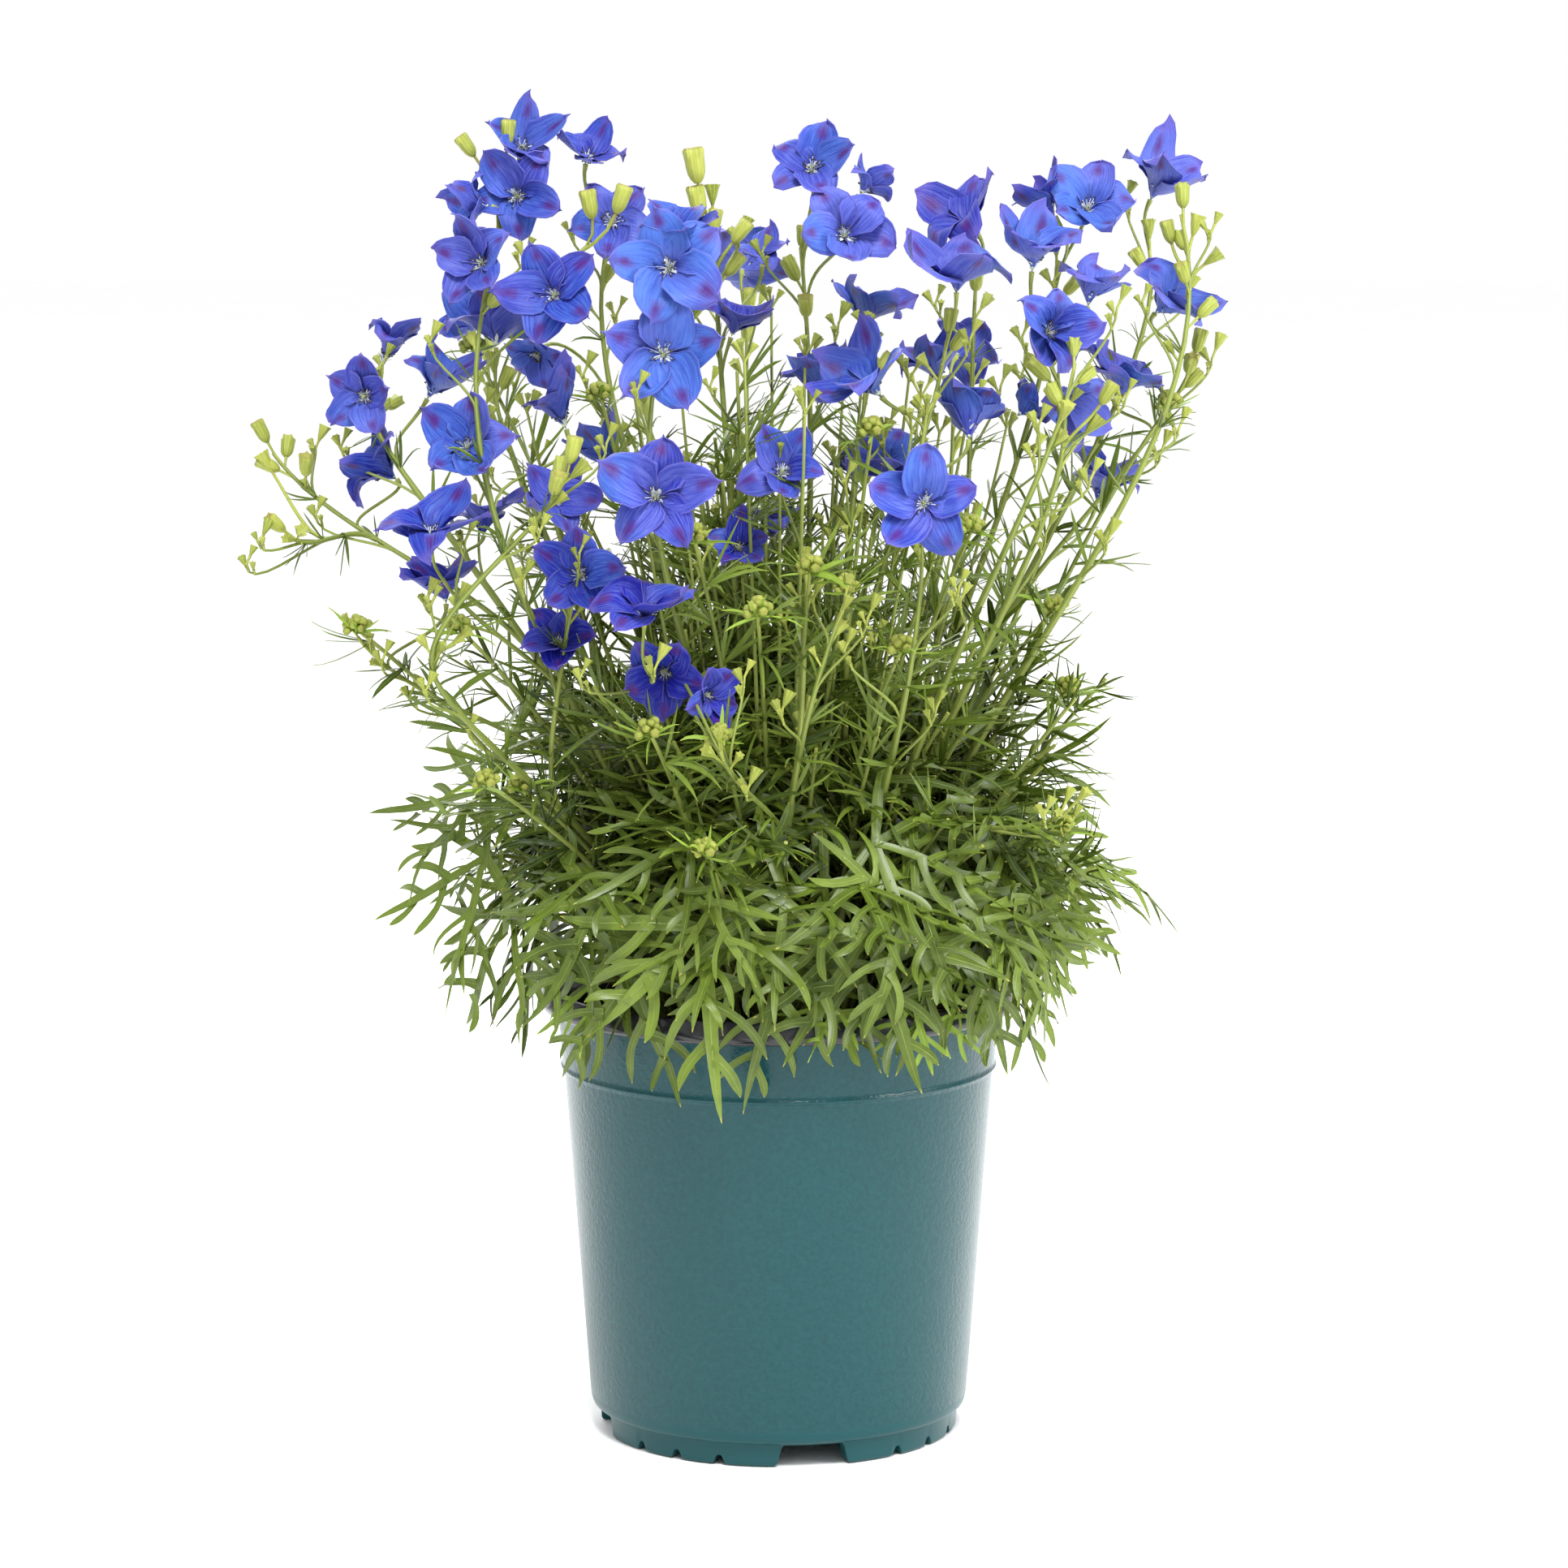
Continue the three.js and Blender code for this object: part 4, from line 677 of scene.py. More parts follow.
def pot_surface():
    """Section (r, z) spun round: x = r cos a, y = r sin a, z lifted to the foot's edge."""
    rings, angle = len(section), circle(TURNS)
    radius, height = section[:, :1], np.repeat(section[:, 1:], TURNS, 1)
    at_foot = (section[:, 0] > 57) & (section[:, 1] < 8.0)
    height[at_foot] = np.maximum(height[at_foot], foot_height(angle))
    points = np.stack([radius * np.cos(angle), radius * np.sin(angle), height], axis=-1)
    number = np.arange(rings * TURNS).reshape(rings, TURNS)
    number[0], number[-1] = 0, (rings - 1) * TURNS  # both ends of the section lie on the axis
    middle, level = (section[:-1] + section[1:]).T / 2
    in_floor = (middle > 40) & (middle < 54) & (level < 12.5)
    opened = off_marks(angle + np.pi / TURNS, FOOT_GAPS, SLOT_RING) < SLOT_HALF
    keep = ~(in_floor[:, None] & opened)
    under, over = np.flatnonzero(in_floor)
    walls = slot_walls(number[under], number[under + 1], number[over], number[over + 1],
                       np.flatnonzero(opened))
    faces = np.concatenate([wrapped_quads(number)[..., ::-1][keep], walls])
    black = np.full(len(walls), 2)
    slots = np.concatenate([np.repeat(section_finish[1:, None], TURNS, 1)[keep], black])
    at_start, at_end = faces[:, 0] == faces[:, 1], faces[:, 2] == faces[:, 3]
    rest = ~(at_start | at_end)
    return batch(points, [faces[rest], faces[at_start][:, 1:], faces[at_end][:, :3]],
                 angle / (2 * np.pi), height / 167,
                 slots=[slots[rest], slots[at_start], slots[at_end]])


make_piece("pot_shell", without_spares(pot_surface()), [pot_wall, pot_collar, pot_black],
           ["pot"], 35)

# %% [markdown]
# The soil
#
# Potting mix fills the pot to below its lip. Seen from above it is a dark, crumbly disc, so its
# top is a disc of rings lifted by several waves, with loose crumbs of bark sunk into it.

# %% Soil
SOIL_TOP = 150.0
SOIL_RADIUS = 78.0


def soil_surface(rings=44, sectors=120):
    """A drum; its top is a low hill, 1.5 (1 - r^2/78^2), with a sum of waves of the place on it."""
    reach = np.concatenate([np.linspace(0, 1, rings), [1.0, 0.985, 0.93, 0.0]])
    total, angle = len(reach), circle(sectors)
    radius = np.where(np.arange(total) < rings, reach * SOIL_RADIUS, reach * 69.0)[:, None]
    x, y = radius * np.cos(angle), radius * np.sin(angle)
    waves = (np.sin(x * 0.31 + 1.0) * np.cos(y * 0.27) + 0.7 * np.sin(x * 0.83 - y * 0.6)
             + 0.5 * np.cos(y * 1.3 + x))
    z = SOIL_TOP + 0.55 * waves + 1.5 * (1 - (radius / SOIL_RADIUS) ** 2)
    z[rings:] = np.array([SOIL_TOP - 4, 14.8, 12.6, 12.6])[:, None]
    x[rings], y[rings] = x[rings - 1] * 0.998, y[rings - 1] * 0.998
    z[rings - 1] = SOIL_TOP - 1.0
    number = np.arange(total * sectors).reshape(total, sectors)
    number[0], number[-1] = 0, (total - 1) * sectors
    quads = wrapped_quads(number)[..., [0, 3, 2, 1]]
    faces = [quads[1:-1].reshape(-1, 4), quads[0][:, :3], quads[-1][:, [0, 1, 3]]]
    return batch(np.stack([x, y, z], axis=-1), faces)


make_piece("potting_soil_fill", without_spares(soil_surface()), [soil_brown],
           ["potting_soil"], 50)

# %% Crumbs
LUMP_CORNERS = np.array([[1, 0, 0], [0, 1, 0], [-1, 0, 0], [0, -1, 0], [0, 0, 1], [0, 0, -1]], float)
LUMP_FACES = np.array([[0, 1, 4], [1, 2, 4], [2, 3, 4], [3, 0, 4],
                       [1, 0, 5], [2, 1, 5], [3, 2, 5], [0, 3, 5]])


def crumbs(count, seed):
    """Small eight-sided lumps: an octahedron's six corners, stretched and turned at random."""
    rng = np.random.default_rng(seed)
    size = rng.uniform(0.6, 2.2, (count, 1, 3)) * [1.0, 1.0, 0.6]
    shape = LUMP_CORNERS * size + rng.normal(0, 0.15, (count, 6, 3))
    turn = rng.uniform(0, 2 * np.pi, count)
    cosine, sine = np.cos(turn)[:, None], np.sin(turn)[:, None]
    x = shape[..., 0] * cosine - shape[..., 1] * sine
    y = shape[..., 0] * sine + shape[..., 1] * cosine
    away = 74 * np.sqrt(rng.uniform(0, 1, (count, 1)))
    middle = bearings(rng.uniform(0, 2 * np.pi, count)) * away + UP * (SOIL_TOP + 1.2)
    faces = (LUMP_FACES + 6 * np.arange(count)[:, None, None]).reshape(-1, 3)
    return batch(np.stack([x, y, shape[..., 2]], -1) + middle[:, None], [faces])


make_piece("soil_crumbs", crumbs(1400, 5), [soil_brown], (), 20)

# %% [markdown]
# The stems
#
# Each flowering stem is a smooth curve from the crown, through a knee, to its tip, and branches
# leave it on the way. These are the same curves as the frame's, with the same places for the
# branches and the same rule for the stalk of each flower. The frame draws them as straight steps
# with flat sides, which would show on a bare stalk. Here they get round sections.

# %% Places of the stems (millimetres)
STEM_FEET = [(-23, 0), (0, 0), (23, 0)]
STEM_FOOT_RADIUS = 10.0
STEMS = [  # group, knee or (parent, share), tip, buds
    (0, (-84, -60, 300), (-98, -6, 446), 2), (0, (-90, -75, 253), (-112, -100, 302), 2),
    (0, (1, 0.8), (-72, -107, 362), 3), (0, (0, 0.4), (-118, -70, 322), 0),
    (0, (1, 0.4), (-74, -68, 312), 1), (0, (-104, -18, 312), (-144, 10, 376), 1),
    (0, (5, 0.4), (-183, -10, 362), 3), (0, (5, 0.2), (-149, -58, 300), 2),
    (0, (6, 0.6), (-173, -45, 334), 2), (0, (-72, 8, 300), (-104, 26, 384), 2),
    (0, (9, 0.4), (-110, 74, 386), 1), (1, (-34, -62, 300), (-38, -60, 408), 1),
    (1, (0, 0.4), (-46, -100, 294), 0), (1, (4, -78, 240), (24, -92, 318), 2),
    (1, (2, 0.4), (-20, -124, 268), 2), (1, (2, 0.6), (10, -64, 322), 2),
    (1, (-44, 4, 320), (-62, 16, 438), 2), (1, (-15, 8, 310), (-24, 6, 450), 3),
    (1, (10, 0, 300), (8, -4, 436), 2), (1, (7, 0.4), (34, 26, 390), 1),
    (1, (-8, 58, 290), (-12, 88, 406), 1), (1, (9, 0.4), (-50, 56, 372), 1),
    (2, (38, -74, 250), (50, -90, 332), 0), (2, (64, -84, 300), (103, -82, 398), 3),
    (2, (1, 0.2), (102, -84, 242), 2), (2, (24, -42, 280), (28, -40, 366), 0),
    (2, (3, 0.4), (60, -38, 404), 1), (2, (76, -50, 300), (97, -44, 394), 1),
    (2, (104, -36, 312), (144, -22, 448), 3), (2, (94, 12, 320), (136, 24, 434), 1),
    (2, (7, 0.4), (150, -8, 394), 2), (2, (68, 22, 300), (102, 14, 430), 1),
    (2, (9, 0.4), (72, 10, 424), 1), (2, (50, 56, 270), (66, 86, 374), 1)]
print("rows of stems:", len(STEMS))


# %% Curves of the stems
def main_controls(foot, knee, tip, number):
    """Control points of a curve that starts near the foot and passes through the knee half way."""
    foot = np.array([*foot, 0.0])
    knee, tip = np.array(knee, float), np.array(tip, float)
    off_middle = STEM_FOOT_RADIUS - (3 if number % 2 == 0 else 7)
    start = foot + unit((knee - foot) * [1, 1, 0]) * off_middle + [0, 0, SOIL_TOP + 4]
    first = start + (knee - start) * [0.35, 0.35, 0.75]
    second = (8 * knee - start - tip - 3 * first) / 3
    return np.stack([start, first, second, tip])


def on_polyline(points, share):
    """Point and direction at a share of a line of straight steps."""
    steps = len(points) - 1
    step = min(int(share * steps), steps - 1)
    low, high = points[step], points[step + 1]
    return low + (high - low) * (share * steps - step), unit(high - low)


def branch_controls(point, tangent, tip):
    """Control points of a branch that leaves along its parent and turns a little upwards."""
    tip = np.array(tip, float)
    reach = np.linalg.norm(tip - point)
    arrival = unit((tip - point) / reach + [0, 0, 0.5])
    return np.stack([point, point + 0.3 * reach * tangent, tip - 0.3 * reach * arrival, tip])


# %% All the stems
def all_stems():
    """Every stem with its curve and with the coarse line of the frame."""
    found = []
    for group, foot in enumerate(STEM_FEET):
        own = []
        for _, way, tip, buds in [row for row in STEMS if row[0] == group]:
            main = len(way) == 3
            if main:
                controls = coarse = main_controls(foot, way, tip, len(own))
            else:
                parent, share = own[way[0]], way[1]
                coarse = branch_controls(*on_polyline(parent["line"], share), tip)
                controls = branch_controls(*on_curve(parent["controls"], share), tip)
            own.append({"group": group, "id": len(found) + len(own), "main": main, "buds": buds,
                        "controls": controls, "line": bezier(coarse, np.linspace(0, 1, 5 if main else 4))})
        found += own
    return found


def curves_of(group, main):
    """The control points of one bunch's main stems, or of its branches."""
    return np.stack([s["controls"] for s in stems if s["group"] == group and s["main"] is main])


stems = all_stems()
print("stems:", len(stems), "highest tip:", max(s["line"][-1][2] for s in stems))

# %% [markdown]
# The flowers
#
# A delphinium bloom has five broad sepals, which look like petals, round a small pale tuft. Here
# each is given by its place, the way it faces, its petal length, how far it is cupped (0 is flat,
# and near 1 the petals close to a goblet) and its turn. The rows of one number share a piece of
# the frame.

# %% Places of the flowers
FLOWERS = [  # piece, place, facing, petal length, cup, turn
    (1, (-93, 0, 470), (0.2, -0.7, 0.6), 20, 0.25, 0),
    (1, (-94, -8, 454), (0, -0.95, 0.2), 21, 0.12, 36),
    (1, (-104, -15, 451), (-0.9, -0.2, 0.1), 17, 0.3, 10),
    (2, (-70, 12, 466), (0.2, -0.55, 0.75), 17, 0.2, 36),
    (2, (-61, 8, 444), (0.1, -0.9, 0.3), 20.5, 0.2, 36),
    (3, (-104, -38, 431), (-0.5, -0.8, 0.2), 19, 0.2, 0),
    (4, (-78, -58, 420), (-0.2, -0.9, 0.3), 21, 0.18, -18),
    (5, (-36, -62, 440), (0.1, -0.5, 0.85), 19, 0.3, 36),
    (5, (-38, -70, 430), (0, -0.95, 0.3), 24, 0.1, -18),
    (5, (-40, -76, 401), (0, -0.98, 0.1), 24, 0.1, 5),
    (6, (-17, 0, 404), (0.3, -0.1, 0.9), 18, 0.35, 15),
    (7, (-104, 25, 399), (-0.05, 0.45, 0.85), 22, 0.35, 10),
    (8, (-86, -15, 399), (-0.2, -0.6, -0.3), 15, 0.3, 25),
    (9, (-76, -35, 373), (-0.35, -0.2, 0.9), 20, 0.6, 30),
    (10, (-128, 10, 381), (0.45, -0.3, 0.8), 21, 0.5, 5),
    (11, (-146, 25, 392), (0.35, -0.1, 0.9), 20, 0.72, 12),
    (12, (-148, -20, 383), (-0.3, -0.9, 0.1), 16, 0.1, 18),
    (13, (-139, -10, 353), (-0.75, -0.2, 0.6), 21, 0.38, 0),
    (14, (-110, -55, 366), (0, -0.85, 0.5), 20, 0.12, 10),
    (15, (-121, -80, 336), (0, -0.35, 0.93), 23, 0.12, 36),
    (16, (-107, -10, 333), (0, 0.1, 1), 18, 0.35, 8),
    (17, (-80, -45, 346), (0.2, -0.7, 0.4), 18, 0.2, 22),
    (18, (-119, -40, 311), (-0.2, 0.1, 0.95), 19, 0.35, 0),
    (19, (-69, -75, 323), (-0.1, -0.9, 0.3), 19, 0.2, 10),
    (20, (-42, -105, 353), (0, -0.95, 0.25), 23.5, 0.08, 8),
    (21, (-46, -110, 311), (0.05, -0.4, 0.9), 22, 0.2, 0),
    (22, (-78, -60, 297), (0, -0.7, 0.5), 16, 0.25, 28),
    (23, (-39, -88, 292), (-0.1, -0.85, -0.2), 20, 0.3, 36),
    (23, (-27, -96, 284), (0.5, -0.5, 0), 15, 0.3, 18),
    (24, (-14, -55, 330), (0, -0.7, 0.6), 14, 0.25, 0), (25, (-2, -10, 332), (0, 0, 1), 14, 0.35, 20),
    (26, (-58, -10, 355), (-0.5, 0, 0.85), 19, 0.6, 6),
    (27, (1, -70, 358), (0.1, -0.75, 0.6), 18, 0.15, -36),
    (28, (12, -30, 463), (-0.1, -0.8, 0.55), 21, 0.15, 18),
    (28, (23, -44, 440), (0.15, -0.85, 0.45), 22, 0.15, 36),
    (28, (29, -42, 456), (0.5, 0.2, 0.6), 14, 0.35, 5),
    (29, (-6, 34, 429), (0, -0.5, 0.8), 13, 0.4, 18),
    (30, (30, 30, 406), (0.35, -0.15, 0.9), 21, 0.35, 26),
    (31, (72, 10, 441), (-0.55, -0.3, 0.75), 24, 0.3, 0),
    (32, (63, -45, 422), (0, -0.1, 1), 24, 0.15, 12),
    (33, (14, -25, 381), (-0.1, -0.1, 1), 22, 0.6, 30),
    (34, (36, -46, 385), (-0.6, -0.3, 0.75), 24, 0.35, 4),
    (35, (59, 30, 385), (-0.2, -0.2, 0.9), 19, 0.4, 22),
    (36, (68, -35, 369), (0.05, 0.55, 0.8), 23, 0.55, 16),
    (37, (88, 18, 374), (0.6, 0.3, 0.5), 13, 0.4, 8),
    (38, (38, -25, 354), (-0.05, -0.5, 0.85), 19, 0.3, 34),
    (39, (28, 25, 348), (0.2, 0.4, 0.8), 15, 0.4, 2),
    (40, (50, -105, 351), (0, -0.97, 0.15), 22, 0.08, 0),
    (41, (111, -6, 448), (0.1, -0.75, 0.6), 23, 0.22, 14),
    (41, (99, -11, 448), (-0.5, 0.1, 0.8), 17, 0.4, 28),
    (42, (90, -38, 429), (0.1, -0.3, 0.9), 22, 0.4, 12),
    (43, (93, -65, 408), (0.45, -0.85, 0.15), 21, 0.3, 0),
    (44, (110, -40, 417), (0.2, -0.1, 0.8), 20, 0.4, 20),
    (45, (137, 30, 453), (0.4, -0.25, 0.8), 24, 0.35, 6),
    (46, (136, -15, 413), (0.65, -0.4, 0.6), 23, 0.35, 32),
    (47, (122, -5, 382), (0.25, -0.15, 0.9), 23, 0.3, 10),
    (48, (101, -33, 384), (0.3, -0.5, -0.2), 19, 0.4, 30),
    (49, (118, 30, 341), (0.25, -0.1, 0.9), 21, 0.45, 24),
    (50, (-113, 76, 404), (-0.5, 0.7, 0.5), 18, 0.25, 0),
    (51, (-14, 94, 424), (0.1, 0.9, 0.4), 20, 0.2, 30),
    (52, (68, 92, 392), (0.4, 0.8, 0.4), 19, 0.2, 20)]
PIECE = column(FLOWERS, 0).astype(int)
PLACE, LENGTH, CUP = column(FLOWERS, 1), column(FLOWERS, 3), column(FLOWERS, 4)
FACING = unit(column(FLOWERS, 2))
TURN = np.radians(column(FLOWERS, 5))
TOP_HINT = unit(np.array([0, 0.45, 0.9]))
print("flowers:", len(FLOWERS), "pieces:", PIECE.max())


# %% The stalk of each flower
def carrier_of(place):
    """The stem point nearest to a flower, where lower by half its distance costs nothing extra."""
    best = None
    for stem in stems:
        for step in range(8, 20):
            point, _ = on_polyline(stem["line"], step / 20)
            reach = np.linalg.norm(point - place)
            cost = reach + (60 if place[2] - point[2] < 0.5 * reach + 4 else 0)
            if best is None or cost < best[0]:
                best = (cost, stem, step / 20)
    return best[1], best[2]


def stalk_controls(place, facing):
    """A curve that leaves the stem along it and arrives under the flower along its axis."""
    stem, share = carrier_of(place)
    point, tangent = on_curve(stem["controls"], share)
    end = place - facing * 0.9
    reach = np.linalg.norm(point - end)
    first, second = point + 0.45 * reach * tangent, end - 0.4 * reach * facing
    return stem["group"], np.stack([point, first, second, end])


stalks = [stalk_controls(place, facing) for place, facing in zip(PLACE, FACING)]
print("stalks in each bunch:", [sum(owner == group for owner, _ in stalks) for group in range(3)])


# %% Stems and stalks as round tubes
def stub(middle, heights, radii, sides, tone):
    """A short upright tube round one place, which stands for the crown in the soil."""
    path = np.array([[[middle[0], middle[1], z] for z in heights]], float)
    return tubes(path, np.array(radii), sides, tone)


def stem_bunch(group):
    """All the tubes of one bunch of stems, with its short foot at the soil."""
    t = np.linspace(0, 1, 25)
    swell = 1 + 0.12 * np.sin(t * 40) ** 8
    parts = []
    for main, start, sides in ((True, 1.9, 9), (False, 1.1, 8)):
        curves = curves_of(group, main)
        radii = (start + (0.66 - start) * t**0.9) * swell
        parts.append(tubes(bezier(curves, t), radii, sides, 0.3 + 0.5 * draw(np.arange(len(curves)), 7)))
    curves = np.stack([controls for owner, controls in stalks if owner == group])
    t = np.linspace(0, 1, 13)
    radii = 0.55 + 0.1 * t + 0.45 * t**12
    parts.append(tubes(bezier(curves, t), radii, 6, 0.45 + 0.4 * draw(np.arange(len(curves)), 8)))
    parts.append(stub(STEM_FEET[group], (144, 150, 154, 157, 158), (11.0, 10.5, 9.5, 7.5, 3.0), 16, 0.2))
    return joined(parts)


STEM_NODES = ["flowering_stems_left", "flowering_stems_middle", "flowering_stems_right"]
for group, node in enumerate(STEM_NODES):
    make_piece(node + "_fine", stem_bunch(group), [stem_green], [node])

# %% [markdown]
# Petals
#
# One petal is a sheet over two numbers: v runs from its base to its tip and u from edge to edge.
# Its side view is a quadratic curve that rises and then spreads, its outline is widest two thirds
# of the way up, and small waves ruffle its edge. Flowers to the left have drawn-out points, and
# those to the right are blunter. A cupped flower has the same petals, wrapped closer round its
# axis. Each sheet is then given two faces and a rim.

# %% The outline and the side view of a petal
PETAL_ROWS = np.array([0, 0.07, 0.15, 0.25, 0.36, 0.47, 0.58, 0.68, 0.77, 0.85, 0.91, 0.96, 1.0])
PETAL_COLUMNS = np.sin(np.linspace(-1, 1, 13) * np.pi / 2)


def petal_width(v, roundness):
    """Half width over its largest: (v/w) exp(1 - v/w) with w = 0.62, cut off at the tip.

    The cut is (1 - t^roundness)^.55 over the last half. A roundness of 2 gives a pointed petal and
    4 gives a round one.
    """
    rise = (v / 0.62) * np.exp(1 - v / 0.62)
    t = np.clip((v - 0.48) / 0.52, 0, 1)
    return np.maximum(rise * (1 - t**roundness) ** 0.55, 0.12 * (1 - v) + 0.02)


def petal_profile(s, cup):
    """Outward and upward place over the length: a quadratic curve with its bend at 0.35."""
    rise, spread = np.radians(50 + 35 * cup), np.radians(8 + 67 * cup)
    bend = 0.35 * np.stack([np.cos(rise), np.sin(rise)])
    end = bend + 0.65 * np.stack([np.cos(spread), np.sin(spread)])
    early = 2 * (1 - s) * s
    return early * bend[:, :, None] + s**2 * end[:, :, None]


def flower_frames(facing):
    """Two directions across the face of each flower: to its top and to its right."""
    top = unit(TOP_HINT - (facing @ TOP_HINT)[:, None] * facing)
    return top, np.cross(top, facing)


print("widest share of a round petal:", PETAL_ROWS[petal_width(PETAL_ROWS, 4.0).argmax()])


# %% All petals of all flowers at once
def petal_grids():
    """Points (petal, along, across, 3) of every petal's middle sheet, five petals a flower."""
    flower = np.repeat(np.arange(len(FLOWERS)), 5)
    petal = np.tile(np.arange(5), len(FLOWERS))
    count = len(flower)
    rng = np.random.default_rng(11)
    v, vv, uu = PETAL_ROWS, PETAL_ROWS[:, None], PETAL_COLUMNS

    def own(low, high):
        """A number for each petal, shaped to spread over its grid."""
        return rng.uniform(low, high, count)[:, None, None]

    face = FACING[flower]
    top, right = flower_frames(face)
    stretch = 0.94 + 0.12 * draw(flower.astype(float), petal.astype(float))
    lift = 0.22 * (draw(flower.astype(float), petal + 9.0) - 0.5)
    size = LENGTH[flower] * stretch * np.interp(PLACE[flower, 2], [430, 455], [1.05, 0.96])
    out, up = petal_profile(np.repeat(v[None], count, 0), CUP[flower])
    blunt = np.clip((PLACE[flower, 0] + 20) / 60, 0, 1)
    roundness = rng.uniform(2.0, 3.2, len(FLOWERS))[flower]
    roundness = roundness + rng.uniform(-0.4, 0.5, count) + 1.3 * blunt
    half = rng.uniform(0.37, 0.48, count)[:, None] * petal_width(v, roundness[:, None])
    wrap = np.clip(uu * (half / np.maximum(out, 0.05))[:, :, None], -1.15, 1.15)
    axis = np.radians(72.0 * petal) + TURN[flower] + rng.uniform(-0.09, 0.09, count)
    sideways = own(-0.10, 0.10) * vv**2
    phase = rng.uniform(0, 2 * np.pi, (count, 6))[:, :, None, None]
    wavy = own(0.6, 2.0)
    edge = np.abs(uu) ** 2.5 * vv
    hand = np.where(uu < 0, phase[:, 0], phase[:, 1])
    ragged = 0.07 * np.sin(12 * vv + hand) + 0.05 * np.sin(31 * vv + 3 * hand)
    angle = axis[:, None, None] + wrap * (1 + ragged * edge) + sideways
    ruffle = 0.06 * np.sin(8 * vv + hand) + 0.03 * np.sin(17 * vv + hand + phase[:, 2])
    folds = 0.008 * np.cos(2.5 * np.pi * uu + phase[:, 3]) * np.sin(np.pi * vv)
    groove = -0.018 * np.exp(-((uu / 0.25) ** 2)) * np.sin(np.pi * vv)
    hollow = own(-0.07, 0.12) * uu**2 * np.sin(np.pi * vv)
    curl = own(-1.6, 1.2) * np.clip(vv - 0.65, 0, 1) ** 2 * 2.2
    sway = 0.03 * np.sin(2 * np.pi * vv + phase[:, 4])
    overlap = 0.014 * uu * (1 - vv) ** 0.5
    twist = own(-0.13, 0.13) * uu * vv
    rise = up[:, :, None] + lift[:, None, None] * vv + wavy * ruffle * edge + folds + groove
    rise = rise + hollow + curl + sway + overlap + twist
    point = np.exp(-((uu / 0.34) ** 2)) * np.clip((vv - 0.85) / 0.15, 0, 1)
    mucro = own(0.04, 0.12) * (1 - 0.75 * blunt)[:, None, None] * point
    radial = out[:, :, None] * (1 + 0.03 * np.sin(2 * np.pi * vv + phase[:, 5]) + mucro)
    scale = size[:, None, None]
    points = (PLACE[flower][:, None, None]
              + (scale * radial * np.cos(angle))[..., None] * top[:, None, None]
              + (scale * radial * np.sin(angle))[..., None] * right[:, None, None]
              + (scale * rise)[..., None] * face[:, None, None])
    tone = 0.52 + 0.18 * rng.normal(size=len(FLOWERS))[flower] + 0.14 * rng.normal(size=count)
    # painted shade: the lower a flower stands, the lower its tone and the deeper and darker its blue
    tone = np.clip(tone + np.clip((PLACE[flower, 2] - 375) / 150, -0.55, 0.1), -0.2, 1)
    return points, face, flower, tone


petals, petal_face, petal_flower, petal_tone = petal_grids()
print("petals:", len(petals), "points in each:", petals[0, ..., 0].size)


# %% Sheets made thick
def shells(grids, facing, thickness, tone):
    """Each grid moved out along its normals both ways, with a rim between; the inside is slot 0."""
    count, rows, columns, _ = grids.shape
    normal = unit(np.cross(np.gradient(grids, axis=1), np.gradient(grids, axis=2)))
    inward = np.einsum("nrcx,nx->n", normal, facing) < 0
    normal[inward] *= -1
    offset = normal * (thickness / 2)
    points = np.stack([grids + offset, grids - offset], axis=1)
    number = np.arange(points[..., 0].size).reshape(count, 2, rows, columns)
    low, high = number[:, :, :-1], number[:, :, 1:]
    faces = np.stack([low[..., :-1], high[..., :-1], high[..., 1:], low[..., 1:]], axis=-1)
    faces[:, 1] = faces[:, 1, ..., ::-1]
    edge = np.concatenate([number[:, :, :-1, 0], number[:, :, -1, :-1],
                           number[:, :, :0:-1, -1], number[:, :, 0, :0:-1]], axis=2)
    after = np.roll(edge, -1, axis=2)
    rim = np.stack([edge[:, 0], edge[:, 1], after[:, 1], after[:, 0]], axis=-1)
    for part in (faces, rim):
        part[inward] = part[inward][..., ::-1]
    cells = (rows - 1) * (columns - 1)
    slots = np.concatenate([np.tile(np.repeat([0, 1], cells), count), np.ones(rim[..., 0].size, int)])
    faces = np.concatenate([faces.reshape(-1, 4), rim.reshape(-1, 4)])
    return batch(points, [faces], (1 + PETAL_COLUMNS) / 2, PETAL_ROWS[:, None],
                 np.reshape(tone, (-1, 1, 1, 1)), [slots])


for piece in range(1, PIECE.max() + 1):
    own = PIECE[petal_flower] == piece
    make_piece(f"bloom_{piece:02d}_petals", shells(petals[own], petal_face[own], 0.3, petal_tone[own]),
               [petal_inside, petal_outside], [f"bloom_{piece:02d}"], 50)

# %% [markdown]
# The heart of a flower
#
# In the middle stand a tuft of white filaments with dark anthers, four small pale inner petals and
# a green pistil in three parts. There are hundreds of filaments, so each is a three-sided tube.


